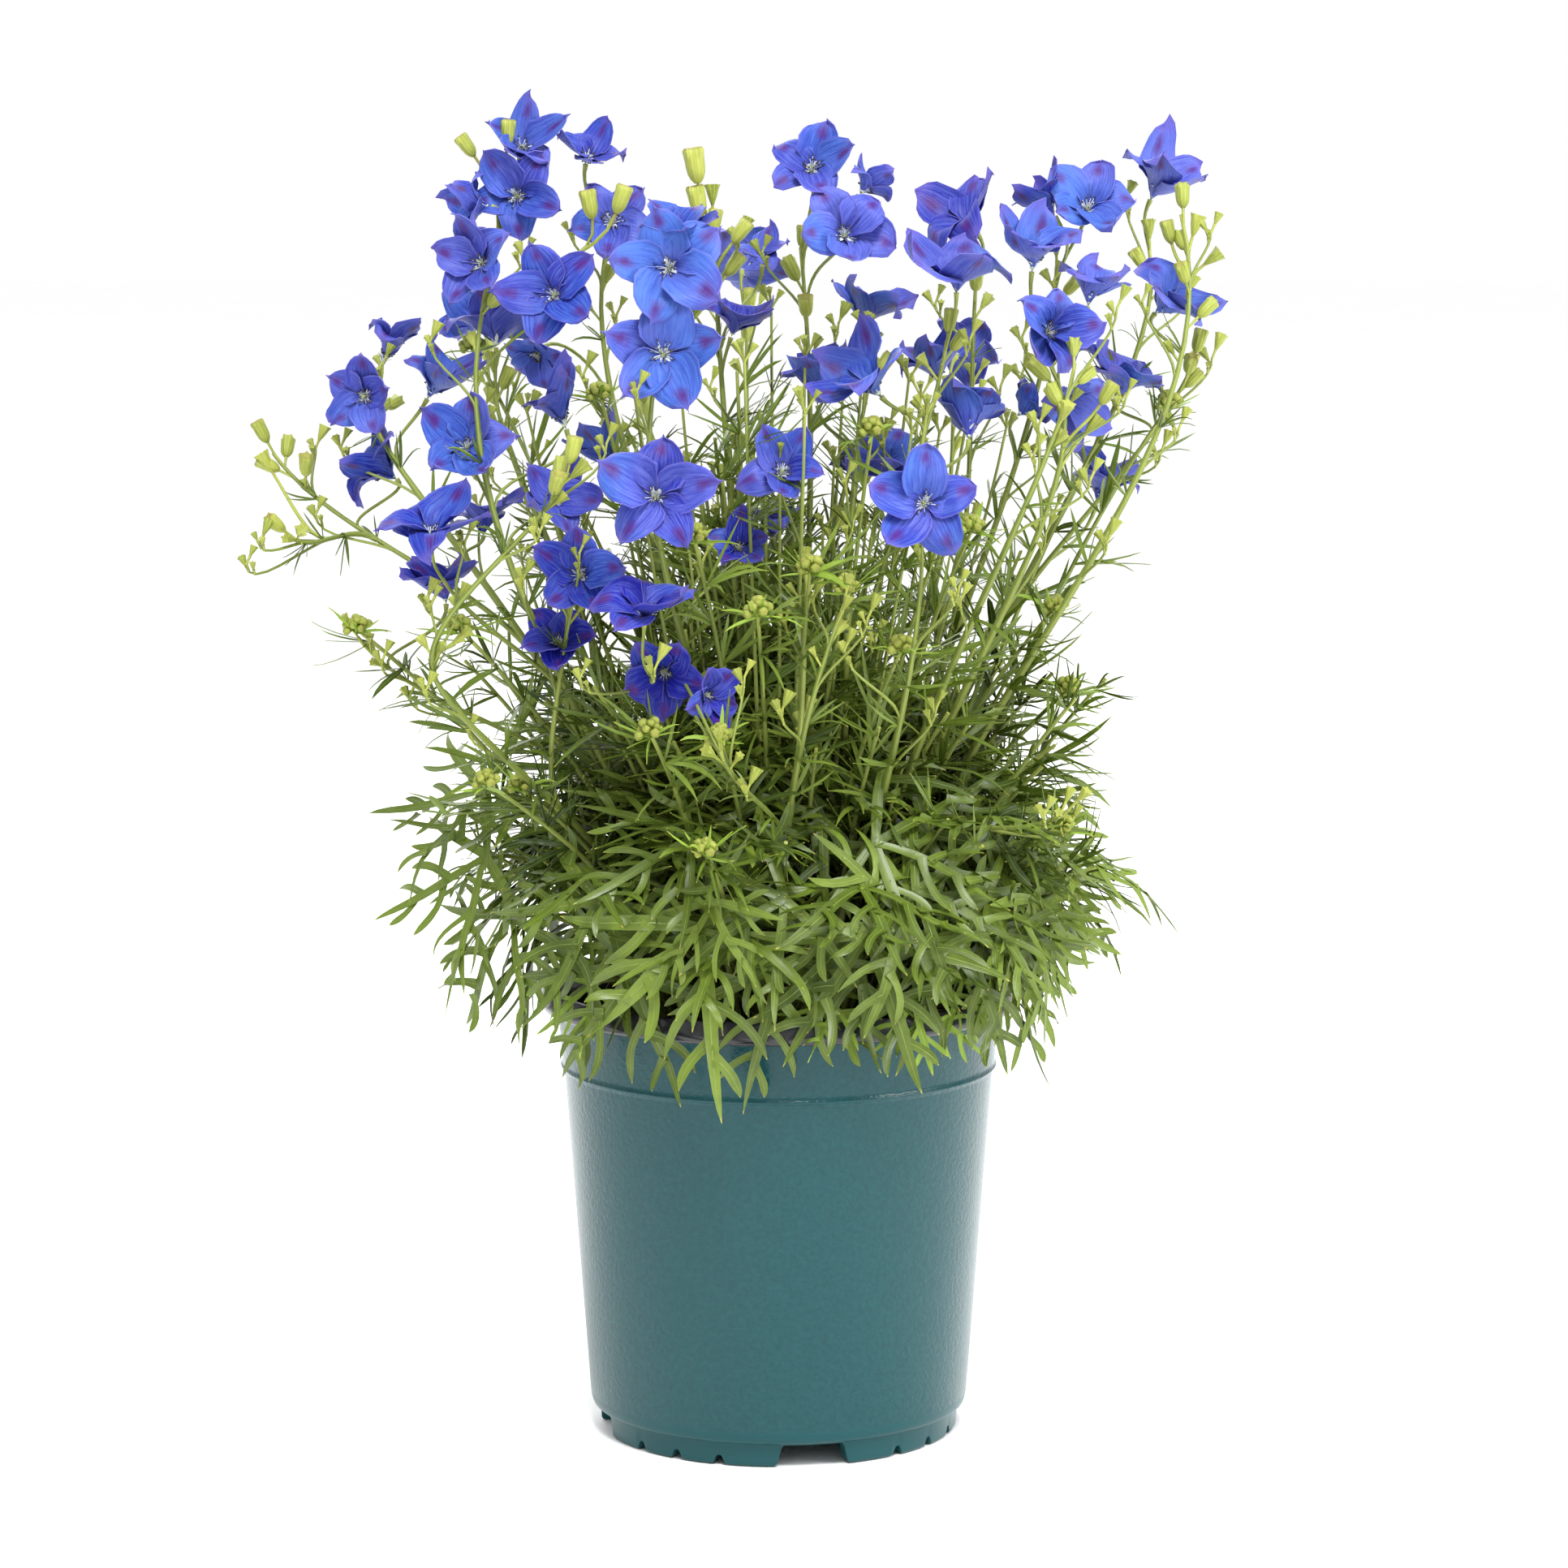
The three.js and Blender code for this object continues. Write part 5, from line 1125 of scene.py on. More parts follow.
# %% Filaments and anthers
def hearts(per_flower=28):
    """Filaments that lean out by up to 58 degrees and bend back, with an anther on each."""
    rng = np.random.default_rng(23)
    top, right = flower_frames(FACING)
    number = np.repeat(np.arange(len(FLOWERS)), per_flower)
    count = len(number)
    turn = 2.4 * np.tile(np.arange(per_flower), len(FLOWERS)) + rng.uniform(0, 0.5, count)
    lean = np.radians(rng.uniform(5, 58, count)) * (1 - 0.75 * CUP[number])
    out = turned(top[number], right[number], turn)
    axis = FACING[number]
    tall = (LENGTH[number] * rng.uniform(0.17, 0.27, count))[:, None]
    base = PLACE[number] + axis * 0.6 + out * rng.uniform(0.2, 0.8, (count, 1))
    way = turned(axis, out, lean)
    controls = np.stack([base, base + axis * (0.5 * tall), base + way * (0.8 * tall),
                         base + way * tall + out * 0.5], axis=1)
    paths = bezier(controls, np.linspace(0, 1, 5))
    filaments = tubes(paths, np.array([0.26, 0.2, 0.16, 0.14, 0.12]), 3, 0.5)
    before = unit(paths[:, -1] - paths[:, -2])[:, None]
    anthers = paths[:, -1:] + before * np.array([-0.25, 0.05, 0.35, 0.6])[:, None]
    return [filaments, tubes(anthers, np.array([0.14, 0.36, 0.32, 0.1]), 5, 0.5, 1)]


# %% Inner petals and pistil
def ring_in(degrees, swing, top, right):
    """For each flower, directions out of its axis at some turns, and the flowers' numbers."""
    number = np.repeat(np.arange(len(FLOWERS)), len(degrees))
    turn = np.tile(np.radians(degrees), len(FLOWERS)) + swing
    return number, turned(top[number], right[number], turn)


def inner_petals():
    """Four small pale blades round the tuft, and three green pistils in its middle."""
    rng = np.random.default_rng(29)
    top, right = flower_frames(FACING)
    swing = rng.uniform(-0.2, 0.2, 4 * len(FLOWERS))
    number, out = ring_in([40, 140, 220, 320], swing, top, right)
    axis = FACING[number]
    tall = (LENGTH[number] * rng.uniform(0.12, 0.17, len(number)))[:, None]
    base = PLACE[number] + axis * 0.5 + out * 0.6
    controls = np.stack([base, base + axis * 0.5 * tall + out * 0.1 * tall,
                         base + axis * 0.85 * tall + out * 0.35 * tall,
                         base + axis * tall + out * 0.75 * tall], 1)
    paths = bezier(controls, np.linspace(0, 1, 6))
    width = np.array([0.2, 0.4, 0.6, 0.75, 0.6, 0.2])
    blades = ribbons(paths, axis[:, None], width, 0.12, 0.15, 0.5)
    number, out = ring_in([90, 210, 330], 0.0, top, right)
    rise = np.array([0.4, 1.6, 3.0, 4.2])[:, None]
    pistil = PLACE[number][:, None] + FACING[number][:, None] * rise + out[:, None] * (0.35 + 0.04 * rise)
    return [blades, tubes(pistil, np.array([0.5, 0.6, 0.35, 0.12]), 5, 0.5, 2)]


make_piece("bloom_hearts", joined(hearts() + inner_petals()),
           [filament_white, anther_dark, pistil_green])

# %% [markdown]
# Buds
#
# A large bud is a barrel on a thin stalk, with five ribs that meet at its crimped top. A smaller
# one widens like a trumpet, and the youngest are round beads. All are the same spun surface with
# another profile. There are hundreds of trumpets and beads, so each has only some fifty faces.


# %% One bud for each place
BUD_PROFILES = {  # share of the length, radius over the length, depth of the five ribs
    "barrel": ([0, 0.05, 0.14, 0.28, 0.46, 0.64, 0.8, 0.92, 1.0, 0.94],
               [0.09, 0.13, 0.2, 0.25, 0.27, 0.27, 0.27, 0.26, 0.19, 0.05],
               [0, 0, 0.02, 0.04, 0.06, 0.09, 0.14, 0.24, 0.4, 0.1]),
    "trumpet": ([0, 0.18, 0.42, 0.74, 0.94, 0.9],
                [0.09, 0.15, 0.23, 0.29, 0.32, 0.05],
                [0, 0.01, 0.05, 0.12, 0.28, 0.1]),
    "bead": ([0, 0.16, 0.46, 0.76, 0.94, 1.0],
             [0.12, 0.34, 0.49, 0.44, 0.26, 0.03],
             [0, 0.02, 0.06, 0.1, 0.16, 0])}


def buds(root, way, stalk, length, tone, profile="barrel"):
    """Profiles spun round their own axes; the five ribs are a cosine of the angle."""
    share, width, lobes = (np.array(row, float)[:, None] for row in BUD_PROFILES[profile])
    sides = 15 if profile == "barrel" else 10
    angle = circle(sides)
    side = unit(np.cross(way, cross_hint(way)))
    spoke = turned(side[:, None, None], -np.cross(side, way)[:, None, None], angle)
    ribbed = width * (1 + lobes * np.cos(5 * angle))
    root, way, long = root[:, None], way[:, None], length[:, None, None]
    axis = root + way * (stalk[:, None, None] + share * long)
    points = axis[:, :, None] + spoke * (ribbed * long)[..., None]
    across = np.abs(((5 * angle / (2 * np.pi)) % 1) - 0.5) + 0.25
    bodies = batch(points, ring_faces(len(points), len(share), sides), across, share,
                   np.reshape(tone, (-1, 1, 1)))
    foot = root + way * (stalk[:, None] * np.array([-0.15, 0.5, 1.04]))[..., None]
    return [bodies, tubes(foot, np.array([0.5, 0.45, 0.6]), 5, tone)]


def mixed_buds(root, way, stalk, length, tone, limit):
    """Barrels for the buds that are longer than the limit, and trumpets for the others."""
    rows, large = (root, way, stalk, length, tone), length > limit
    return buds(*[r[large] for r in rows]) + buds(*[r[~large] for r in rows], "trumpet")


def stem_buds(group):
    """A loose cluster at the end of each stem, as in the frame, with two more buds."""
    rows = []
    for stem in [s for s in stems if s["group"] == group and s["buds"]]:
        full = 9 if stem["line"][-1][2] > 330 else 6
        for k in range(stem["buds"] + 2):
            root, tangent = on_curve(stem["controls"], 0.985 - 0.045 * k)
            turn = 2 * np.pi * (0.38 * k + draw(stem["id"], 1))
            spread = 0.15 if k == 0 else 0.8 + 0.4 * draw(stem["id"], k + 2)
            way = unit(tangent + (bearings(turn) * spread + 0.3 * UP))
            stalk = 4.0 + 3.0 * draw(stem["id"], k + 5)
            late = 0.7 if k > stem["buds"] else 1.0
            rows.append((root, way, stalk, full * (0.8 + 0.3 * draw(stem["id"], k + 14)) * late))
    tone = 0.3 + 0.6 * draw(np.arange(len(rows)), 3)
    return joined(mixed_buds(*[column(rows, place) for place in range(4)], tone, 8.0))


for group, node in enumerate(STEM_NODES):
    make_piece(node.replace("flowering_stems", "buds"), stem_buds(group), [bud_green], [node])

# %% Large buds that stand free above the flowers
FREE_BUDS = [  # place of the bud's foot, way it points, length
    ((-98, -4, 471), (0.05, 0, 1), 10), ((-109, -6, 468), (-0.6, 0, 0.8), 9),
    ((-66, -30, 446), (-0.2, 0, 1), 10.5), ((-58, -32, 448), (0.35, 0, 1), 10.5),
    ((-29, 0, 458), (-0.15, 0, 1), 13), ((-28, 2, 446), (-0.2, 0, 1), 11.5),
    ((-24, 0, 440), (0.15, 0, 1), 9), ((-17, 0, 437), (0.6, 0, 0.8), 9.5),
    ((-35, -2, 444), (-0.7, 0, 0.7), 7), ((141, -20, 437), (-0.25, 0, 1), 8.5),
    ((148, -22, 440), (0.3, 0, 1), 8), ((152, -22, 430), (0.8, 0, 0.6), 7.5),
    ((113, -60, 382), (0.5, 0, 0.8), 9), ((108, -58, 372), (0.6, 0, 0.7), 8),
    ((-183, -12, 355), (-0.5, 0, 0.8), 8)]


def free_buds():
    """The buds, and for each a thin stalk that leaves the nearest stem along it."""
    place, way, length = column(FREE_BUDS, 0), unit(column(FREE_BUDS, 1)), column(FREE_BUDS, 2)
    tone = draw(np.arange(len(place)), 17)
    bodies = mixed_buds(place, way, np.full(len(place), 0.8), length, tone, 8.2)
    curves = []
    for end, aim in zip(place, way):
        stem, share = carrier_of(end)
        point, tangent = on_curve(stem["controls"], share)
        reach = np.linalg.norm(point - end)
        curves.append([point, point + 0.4 * reach * tangent, end - 0.4 * reach * aim, end + aim])
    t = np.linspace(0, 1, 11)
    return joined([*bodies, tubes(bezier(curves, t), 0.75 - 0.15 * t, 6, 0.6)])


make_piece("free_buds", free_buds(), [bud_green])

# %% [markdown]
# Side twigs
#
# All along the upper stems, thin twigs end in a few smaller buds. They fill the space between the
# flowers, so each main stem gets four of them and each branch two, turned round it by the golden
# angle.


# %% Twigs with their buds
def side_twigs(group, seed):
    """Thin curves that leave a stem along it and turn up, with three small buds at the end."""
    rng = np.random.default_rng(seed)
    starts = []
    for stem in [s for s in stems if s["group"] == group]:
        for k, share in enumerate((0.5, 0.64, 0.78, 0.9) if stem["main"] else (0.55, 0.8)):
            share = share + 0.04 * (draw(stem["id"], k + 31) - 0.5)
            starts.append(on_curve(stem["controls"], share))
    root, tangent = column(starts, 0), column(starts, 1)
    count = len(root)
    level = bearings(2.4 * np.arange(count) + seed)
    reach = rng.uniform(20, 40, (count, 1))
    end = root + unit(tangent * 1.4 + level * rng.uniform(0.5, 1.1, (count, 1))) * reach
    end[:, 2] = np.minimum(end[:, 2], 452)
    curves = np.stack([root, root + tangent * 0.35 * reach, end - [0, 0, 0.3] * reach, end], 1)
    t = np.linspace(0, 1, 9)
    twigs = tubes(bezier(curves, t), 0.62 - 0.2 * t, 5, rng.uniform(0.4, 0.9, count))
    at = bezier(curves, np.array([1.0, 0.9, 0.78])).reshape(-1, 3)
    lean = bearings(2.1 * np.arange(3 * count)) + 0.9 * UP
    way = unit(lean * np.tile([0.4, 0.9, 0.9], count)[:, None] + [0, 0, 0.5])
    size = rng.uniform(3.6, 6.0, 3 * count) * np.tile([1.1, 0.9, 0.7], count)
    stalk = rng.uniform(2.0, 3.5, 3 * count)
    return twigs, joined(buds(at, way, stalk, size, rng.uniform(0.2, 0.9, 3 * count), "trumpet"))


for group, node in enumerate(STEM_NODES):
    twigs, twig_buds = side_twigs(group, 5 + group)
    make_piece(node.replace("flowering_stems", "twigs"), twigs, [stem_green], [node])
    make_piece(node.replace("flowering_stems", "twig_buds"), twig_buds, [bud_green], [node])

# %% [markdown]
# Narrow leaves on the stems
#
# At each joint of a stem a leaf is cut into three to five narrow straps that spread like fingers.
# They are long and close low on the plant, where they fill the space between the stems, and short
# and sparse near the flowers. Shorter leafy shoots with tight heads of young buds stand among
# them, and a few tall thin ones reach up between the flowers.

# %% Leafy shoots between the stems
SHOOT_HEADS = [
    (-113, 30, 398), (33, -60, 373), (11, -100, 328), (-7, -110, 314), (24, -80, 319), (-20, -115, 271),
    (-44, -110, 272), (-102, -90, 252), (-112, -70, 304), (43, -95, 300), (101, -60, 232),
    (-25, -120, 232), (-149, -60, 303), (-91, -70, 248), (105, -20, 277), (69, -50, 338),
    (-29, -95, 338), (99, -30, 307), (141, -10, 379), (129, 10, 387), (-64, -20, 383)]


def shoot_controls(start, tip, late):
    """Curves that rise steeply from the soil; the third control stands at a late share."""
    start[:, 2] = SOIL_TOP - 2
    rise = tip - start
    return np.stack([start, start + rise * [0.25, 0.25, 0.4], start + rise * late, tip], 1)


def leafy_shoots(extra, seed):
    """Curves from the crown to each bud head, and more to places drawn in a wide bowl."""
    rng = np.random.default_rng(seed)
    turn = rng.uniform(0, 2 * np.pi, extra)
    away = rng.uniform(15, 112, extra)
    height = 345 - 0.75 * away + rng.uniform(-60, 25, extra) + 40 * (draw(np.arange(extra), 12) > 0.76)
    bowl = bearings(turn) * away[:, None] * [1.1, 0.85, 0] + height[:, None] * UP
    tip = np.concatenate([np.array(SHOOT_HEADS, float), bowl])
    crowded = np.minimum(1, np.linalg.norm(tip[:, :2], axis=1) / 60)[:, None]
    start = unit(tip * [1, 1, 0]) * rng.uniform(8, 44, (len(tip), 1)) * crowded
    return shoot_controls(start, tip, [0.6, 0.6, 0.75])


def tall_shoots(count, seed):
    """Thin curves from the crown to places among the flowers."""
    rng = np.random.default_rng(seed)
    away = rng.uniform(12, 105, (count, 1))
    height = rng.uniform(318, 412, (count, 1))
    tip = bearings(2.4 * np.arange(count)) * away * [1.1, 0.9, 0] + height * UP
    return shoot_controls(tip * [0.35, 0.35, 0], tip, [0.75, 0.75, 0.7])


def shoot_tubes(curves, start, taper, tone):
    """Tubes whose radius falls from the start by the taper, each with its own tone."""
    t = np.linspace(0, 1, 15)
    tones = tone + 0.4 * draw(np.arange(len(curves)), 4)
    return tubes(bezier(curves, t), start - taper * t, 6, tones)


shoots = leafy_shoots(140, 31)
tall = tall_shoots(44, 33)
make_piece("leafy_shoots", shoot_tubes(shoots, 1.25, 0.55, 0.35), [stem_green])
make_piece("tall_shoots", shoot_tubes(tall, 1.05, 0.5, 0.5), [stem_green])


# %% Straps at every joint
def straps_at(points, tangents, length, tone, rng, fingers, broad, spread=0.75, lean=(35, 75)):
    """Each joint's leaf: straps that fan out of it, lean out by a range and arch over.

    Each strap is rolled about its own line by about 40 degrees, so some show their face and some
    their edge from any side.
    """
    count, number = len(points), np.repeat(np.arange(len(points)), fingers)
    total = len(number)
    bearing = rng.uniform(0, 2 * np.pi, count)[number]
    fan = np.tile(np.linspace(-spread, spread, fingers), count) + rng.normal(0, 0.1, total)
    side = unit(np.cross(tangents, [0.31, 0.95, 0.0]))
    level = turned(side[number], np.cross(side, tangents)[number], bearing + fan)
    stem_way = tangents[number]
    way = turned(stem_way, level, np.radians(rng.uniform(*lean, total)))
    outer = 1 - 0.25 * np.minimum(np.abs(fan), 1)
    long = (length[number] * rng.uniform(0.7, 1.15, total) * outer)[:, None]
    droop = rng.uniform(-0.15, 0.3, total)[:, None] * long
    start = points[number]
    controls = np.stack([start, start + way * 0.35 * long, start + way * 0.7 * long,
                         start + way * long - UP * droop], 1)
    paths = bezier(controls, np.array([0, 0.16, 0.38, 0.6, 0.82, 1.0]))
    width = np.array([0.4, 0.85, 1.0, 0.98, 0.66, 0.06])
    broad = np.broadcast_to(broad, (count,))[number][:, None]
    wide = width * np.clip(broad * long, 0.3, 1.5) * rng.uniform(0.75, 1.25, (total, 1))
    hint = turned(stem_way, np.cross(way, stem_way), rng.normal(0, 0.7, total))
    return ribbons(paths, hint[:, None], wide, 0.13, 0.35, tone[number])


def joints_on(curves, shares):
    """Points and directions at the given shares of every curve."""
    near = bezier(curves, np.concatenate([shares - 0.005, shares + 0.005]))
    low, high = near[:, :len(shares)], near[:, len(shares):]
    return ((low + high) / 2).reshape(-1, 3), unit(high - low).reshape(-1, 3)


# %% Leaves on the flowering stems
def stem_leaves(group, seed):
    """Joints along one bunch of stems, closer together low down."""
    rng = np.random.default_rng(seed)
    parts = []
    for main, shares in ((True, (0.3, 0.38, 0.46, 0.54, 0.63, 0.72, 0.82)), (False, (0.35, 0.6, 0.8))):
        curves = curves_of(group, main)
        points, tangents = joints_on(curves, np.array(shares))
        share = np.tile(shares, len(curves))
        length = (34 - 20 * share if main else 20 - 8 * share) * rng.uniform(0.8, 1.2, len(share))
        tone = rng.uniform(0.2, 1.0, len(share))
        parts.append(straps_at(points, tangents, length, tone, rng, 4, 0.05 - 0.026 * share))
    return joined(parts)


for group, node in enumerate(STEM_NODES):
    make_piece(node.replace("flowering_stems", "stem_leaves"), stem_leaves(group, 41 + group),
               [leaf_green], [node])


# %% Leaves on the shoots
def shoot_leaves(curves, seed):
    """Long straps on the leafy shoots, which make the thicket between mound and flowers."""
    rng = np.random.default_rng(seed)
    shares = np.array([0.4, 0.51, 0.61, 0.7, 0.79, 0.88, 0.96])
    points, tangents = joints_on(curves, shares)
    share = np.tile(shares, len(curves))
    length = (46 - 20 * share) * rng.uniform(0.8, 1.2, len(share))
    # painted shade: the tone rises with height, so straps low in the thicket are darker
    tone = np.clip(0.6 + (points[:, 2] - 250) / 320 + 0.3 * rng.normal(size=len(share)), 0, 1)
    return straps_at(points, tangents, length, tone, rng, 5, 0.052 - 0.026 * share)


def tall_shoot_ends():
    """Slim straps on the tall shoots, and three small buds at the end of each."""
    rng = np.random.default_rng(35)
    points, tangents = joints_on(tall, np.array([0.45, 0.6, 0.74, 0.87]))
    length = rng.uniform(17, 30, len(points))
    straps = straps_at(points, tangents, length, rng.uniform(0.4, 1.0, len(points)), rng, 5, 0.03)
    root = np.repeat(tall[:, 3], 3, 0)
    count = len(root)
    way = unit(bearings(2.1 * np.arange(count)) + 1.6 * UP)
    stalk, size = rng.uniform(2.0, 6.0, count), rng.uniform(3.4, 5.6, count)
    return straps, joined(buds(root, way, stalk, size, rng.uniform(0.2, 0.9, count), "trumpet"))


make_piece("shoot_leaves_deep", shoot_leaves(shoots[::2], 47), [leaf_deep])
make_piece("shoot_leaves_green", shoot_leaves(shoots[1::2], 48), [leaf_green])
tall_straps, tall_buds = tall_shoot_ends()
make_piece("tall_shoot_leaves", tall_straps, [leaf_green])
make_piece("tall_shoot_buds", tall_buds, [bud_green])


# %% Tight heads of young buds
def bud_heads(beads=13):
    """A dome of round beads on each head, in a star of fresh narrow bracts."""
    rng = np.random.default_rng(53)
    heads = np.array(SHOOT_HEADS, float)
    root = np.repeat(heads, beads, 0)
    around_axis = bearings(2.4 * np.tile(np.arange(beads), len(heads)))
    way = turned(UP, around_axis, np.radians(np.tile(np.linspace(5, 95, beads), len(heads))))
    length, stalk = rng.uniform(2.6, 3.6, len(root)), rng.uniform(1.6, 3.0, len(root))
    domes = buds(root, way, stalk, length, rng.uniform(0.3, 0.9, len(root)), "bead")
    tangents = unit(UP + rng.normal(0, 0.1, heads.shape))
    size, tone = np.full(len(heads), 19.0), np.full(len(heads), 0.8)
    bracts = straps_at(heads - [0, 0, 1.5], tangents, size, tone, rng, 8, 0.045, 2.7, (45, 100))
    return joined(domes), bracts


domes, bracts = bud_heads()
make_piece("bud_heads", domes, [bud_green])
make_piece("bud_bracts", bracts, [leaf_fresh])

# %% [markdown]
# The mound of cut leaves
#
# A basal leaf is palmate: five lobes from the top of its stalk, and the larger lobes fork into two
# or three straps with pale points. A strap is a ribbon that follows a curve in the leaf's own flat
# outline, and the whole outline is then bent downwards from its middle like an open umbrella.

# %% The outline of one leaf
LOBES = [(-106, 0.76, 1), (-54, 0.93, 2), (0, 1.0, 3), (54, 0.93, 2), (106, 0.76, 1)]
FORKS = {  # hand, share of the lobe, length as a share of the lobe
    1: [(1, 0.42, 0.4), (-1, 0.55, 0.34)],
    2: [(-1, 0.4, 0.42), (1, 0.5, 0.38), (-1, 0.68, 0.25)],
    3: [(-1, 0.36, 0.4), (1, 0.42, 0.4), (-1, 0.62, 0.28), (1, 0.7, 0.24)]}


def polar(distance, degrees):
    """A point of the flat outline: its distance from the joint and its bearing."""
    return np.array([np.cos(np.radians(degrees)), np.sin(np.radians(degrees))]) * distance


def strap_plan(variant):
    """The straps of a leaf as control points in its flat outline, with a width for each.

    A lobe runs out along its bearing. Short side straps leave it on alternate sides at about 55
    degrees and bend forward, like the tines of an antler, which leaves a round notch in each fork.
    """
    plan = []
    for k, (bearing, length, kind) in enumerate(LOBES):
        aim = bearing + 12 * (draw(variant, k) - 0.5)
        mid = bearing + 16 * (draw(variant, k + 60) - 0.5)
        length = length * (0.9 + 0.2 * draw(variant, k + 80))
        shift = 0.08 * (draw(variant, k + 20) - 0.5)
        spine = np.array([polar(0, 0), polar(0.33 * length, mid),
                          polar(0.66 * length, 2 * bearing - mid), polar(length, aim)])
        plan.append((spine, 1.0, "lobe"))
        for hand, share, reach in FORKS[kind]:
            low, root, high = bezier(spine, share + shift + np.array([-0.02, 0, 0.02]))
            way = math.degrees(math.atan2(high[1] - low[1], high[0] - low[0]))
            aside = way + hand * (54 + 16 * (draw(variant, 7 * k + share) - 0.5))
            reach = reach * length * (0.85 + 0.3 * draw(variant, 9 * k + reach))
            tine = [root - polar(0.02, way), root + polar(0.36 * reach, aside + hand * 14),
                    root + polar(0.7 * reach, aside), root + polar(reach, aside - hand * 14)]
            plan.append((np.array(tine), 0.86, "tine"))
    return plan


PLANS = [strap_plan(v) for v in range(6)]
print("straps in a leaf:", len(PLANS[0]))

# %% A batch of leaves
STRAP_ROWS = np.array([0, 0.12, 0.26, 0.42, 0.58, 0.72, 0.84, 0.93, 1.0])
STRAP_WIDTH = {"lobe": np.array([0.8, 0.86, 1.0, 1.08, 1.0, 0.86, 0.72, 0.44, 0.05]),
               "tine": np.array([1.2, 1.0, 0.84, 0.84, 0.88, 0.84, 0.68, 0.4, 0.05])}


def leaves(joint, forward, side, span, droop, tone, seed):
    """Every strap of every leaf: its flat plan, x forward and y to the side, laid in space.

    A point of the plan goes to joint + span (x forward + y side - bend normal), where the bend is
    the droop times the square of the distance from the joint, with a small wave.
    """
    rng = np.random.default_rng(seed)
    normal = np.cross(forward, side)
    variant = rng.integers(0, len(PLANS), len(joint))
    t, parts = STRAP_ROWS, []
    for v, plan in enumerate(PLANS):
        chosen = np.flatnonzero(variant == v)
        if not len(chosen):
            continue
        one = (len(chosen), 1)
        size, sag, middle = span[chosen][:, None], droop[chosen][:, None], joint[chosen][:, None]
        ahead, left, up = forward[chosen][:, None], side[chosen][:, None], normal[chosen][:, None]
        # painted light: leaves out at the plant's left and right sides get up to 0.35 more tone, so they
        # are lighter
        outer = 0.35 * np.clip((np.abs(joint[chosen, 0]) - 55) / 50, 0, 1)
        wave = rng.uniform(0, 2 * np.pi, one)
        for k, (controls, broad, kind) in enumerate(plan):
            x, y = bezier(controls, t).T
            distance = np.hypot(x, y)
            bend = sag * distance**2 - 0.06 * np.sin(5 * x + 7 * y + wave) * distance
            bend = bend + 0.07 * rng.normal(size=one) * t**2
            path = (middle + (size * x)[..., None] * ahead + (size * y)[..., None] * left
                    - (size * bend)[..., None] * up)
            path = path + up * (0.12 * (k % 3))
            wide = 0.039 * size * broad * STRAP_WIDTH[kind] * rng.uniform(0.88, 1.12, one)
            hint = up + 0.5 * rng.normal(size=(*one, 3)) * t[:, None] ** 2
            shade = np.clip(tone[chosen] + 0.12 * rng.normal(size=len(chosen)), 0, 1) + outer
            parts.append(ribbons(path, hint, wide, 0.17, 0.3, shade))
    return joined(parts)


def leaf_stalks(foot, joint, forward, height, tone):
    """Stalks that rise from the crown and arch over to the leaf's joint."""
    bend = (foot + joint) / 2
    bend[:, 2] = np.maximum(joint[:, 2], height) + 8
    under = joint + forward * 1.5
    t = np.linspace(0, 1, 9)[:, None]
    curve = (1 - t) ** 2 * foot[:, None] + 2 * t * (1 - t) * bend[:, None] + t**2 * under[:, None]
    return tubes(curve, 1.35 - 0.5 * t[:, 0], 6, tone)


def leaf_pieces(blades, stalks, placed, droop, tone, seed, finish, nodes=(), extra=()):
    """Two pieces from one set of leaves: the blades of its first name, the stalks of its second."""
    joint, forward, side, span, foot = placed
    droop = np.broadcast_to(droop, span.shape)
    make_piece(blades, leaves(joint, forward, side, span, droop, tone, seed), [finish], nodes)
    tubes_of_stalks = leaf_stalks(foot, joint, forward, 178.0, tone)
    make_piece(stalks, joined([tubes_of_stalks, *extra]), [stem_green], nodes)


# %% The leaves of the frame
LEAF_SPAN = 52.0
LEAF_LAYERS = [  # turn from the clump's bearing, distance out, height, pitch, share of the span
    (-15, 86, 193, -66, 1.08), (15, 97, 203, -44, 0.95), (-13, 99, 219, -22, 0.92),
    (16, 90, 233, 6, 0.88), (-3, 52, 248, 30, 0.82)]
CLUMP_RING = 42.0


def clump_leaves(clump):
    """Joint, directions, span and foot of the ten leaves of one clump, and the clump's middle."""
    own = 120.0 * clump - 90.0
    middle = bearings(np.radians(own)) * CLUMP_RING
    half = np.repeat([-1.0, 1.0], 5)
    turn, away, height, pitch, size = np.array(LEAF_LAYERS * 2).T
    number = (2 * clump + (half > 0)) * 5 + np.tile(np.arange(5), 2)
    outward = bearings(np.radians(own + turn + half * 30 + 10 * (draw(number, 1.0) - 0.5)))
    height = height + 8 * (draw(number, 3.0) - 0.5)
    joint = outward * (away * (0.95 + 0.1 * draw(number, 2.0)))[:, None] + height[:, None] * UP
    forward = turned(outward, UP, np.radians(pitch))
    roll = np.radians(20 * (draw(number, 4.0) - 0.5))
    level = np.cross(UP, outward)
    side = turned(level, np.cross(forward, level), roll)
    span = LEAF_SPAN * size * (0.94 + 0.12 * draw(number, 5.0))
    foot = middle + [0, 0, SOIL_TOP + 3] + outward * 3
    return (joint, forward, side, span, foot), middle


for clump in range(3):
    placed, middle = clump_leaves(clump)
    tone = 0.35 + 0.55 * draw(np.arange(10) + 10.0 * clump, 6.0)
    knob = stub(middle, (145, 150, 154, 157, 158), (8.4, 8.2, 7.4, 6.0, 2.5), 14, 0.3)
    leaf_pieces(f"basal_leaves_{clump + 1}_fine", f"leaf_stalks_{clump + 1}", placed, 0.14, tone,
                61 + clump, leaf_green, [f"basal_leaves_{clump + 1}"], [knob])

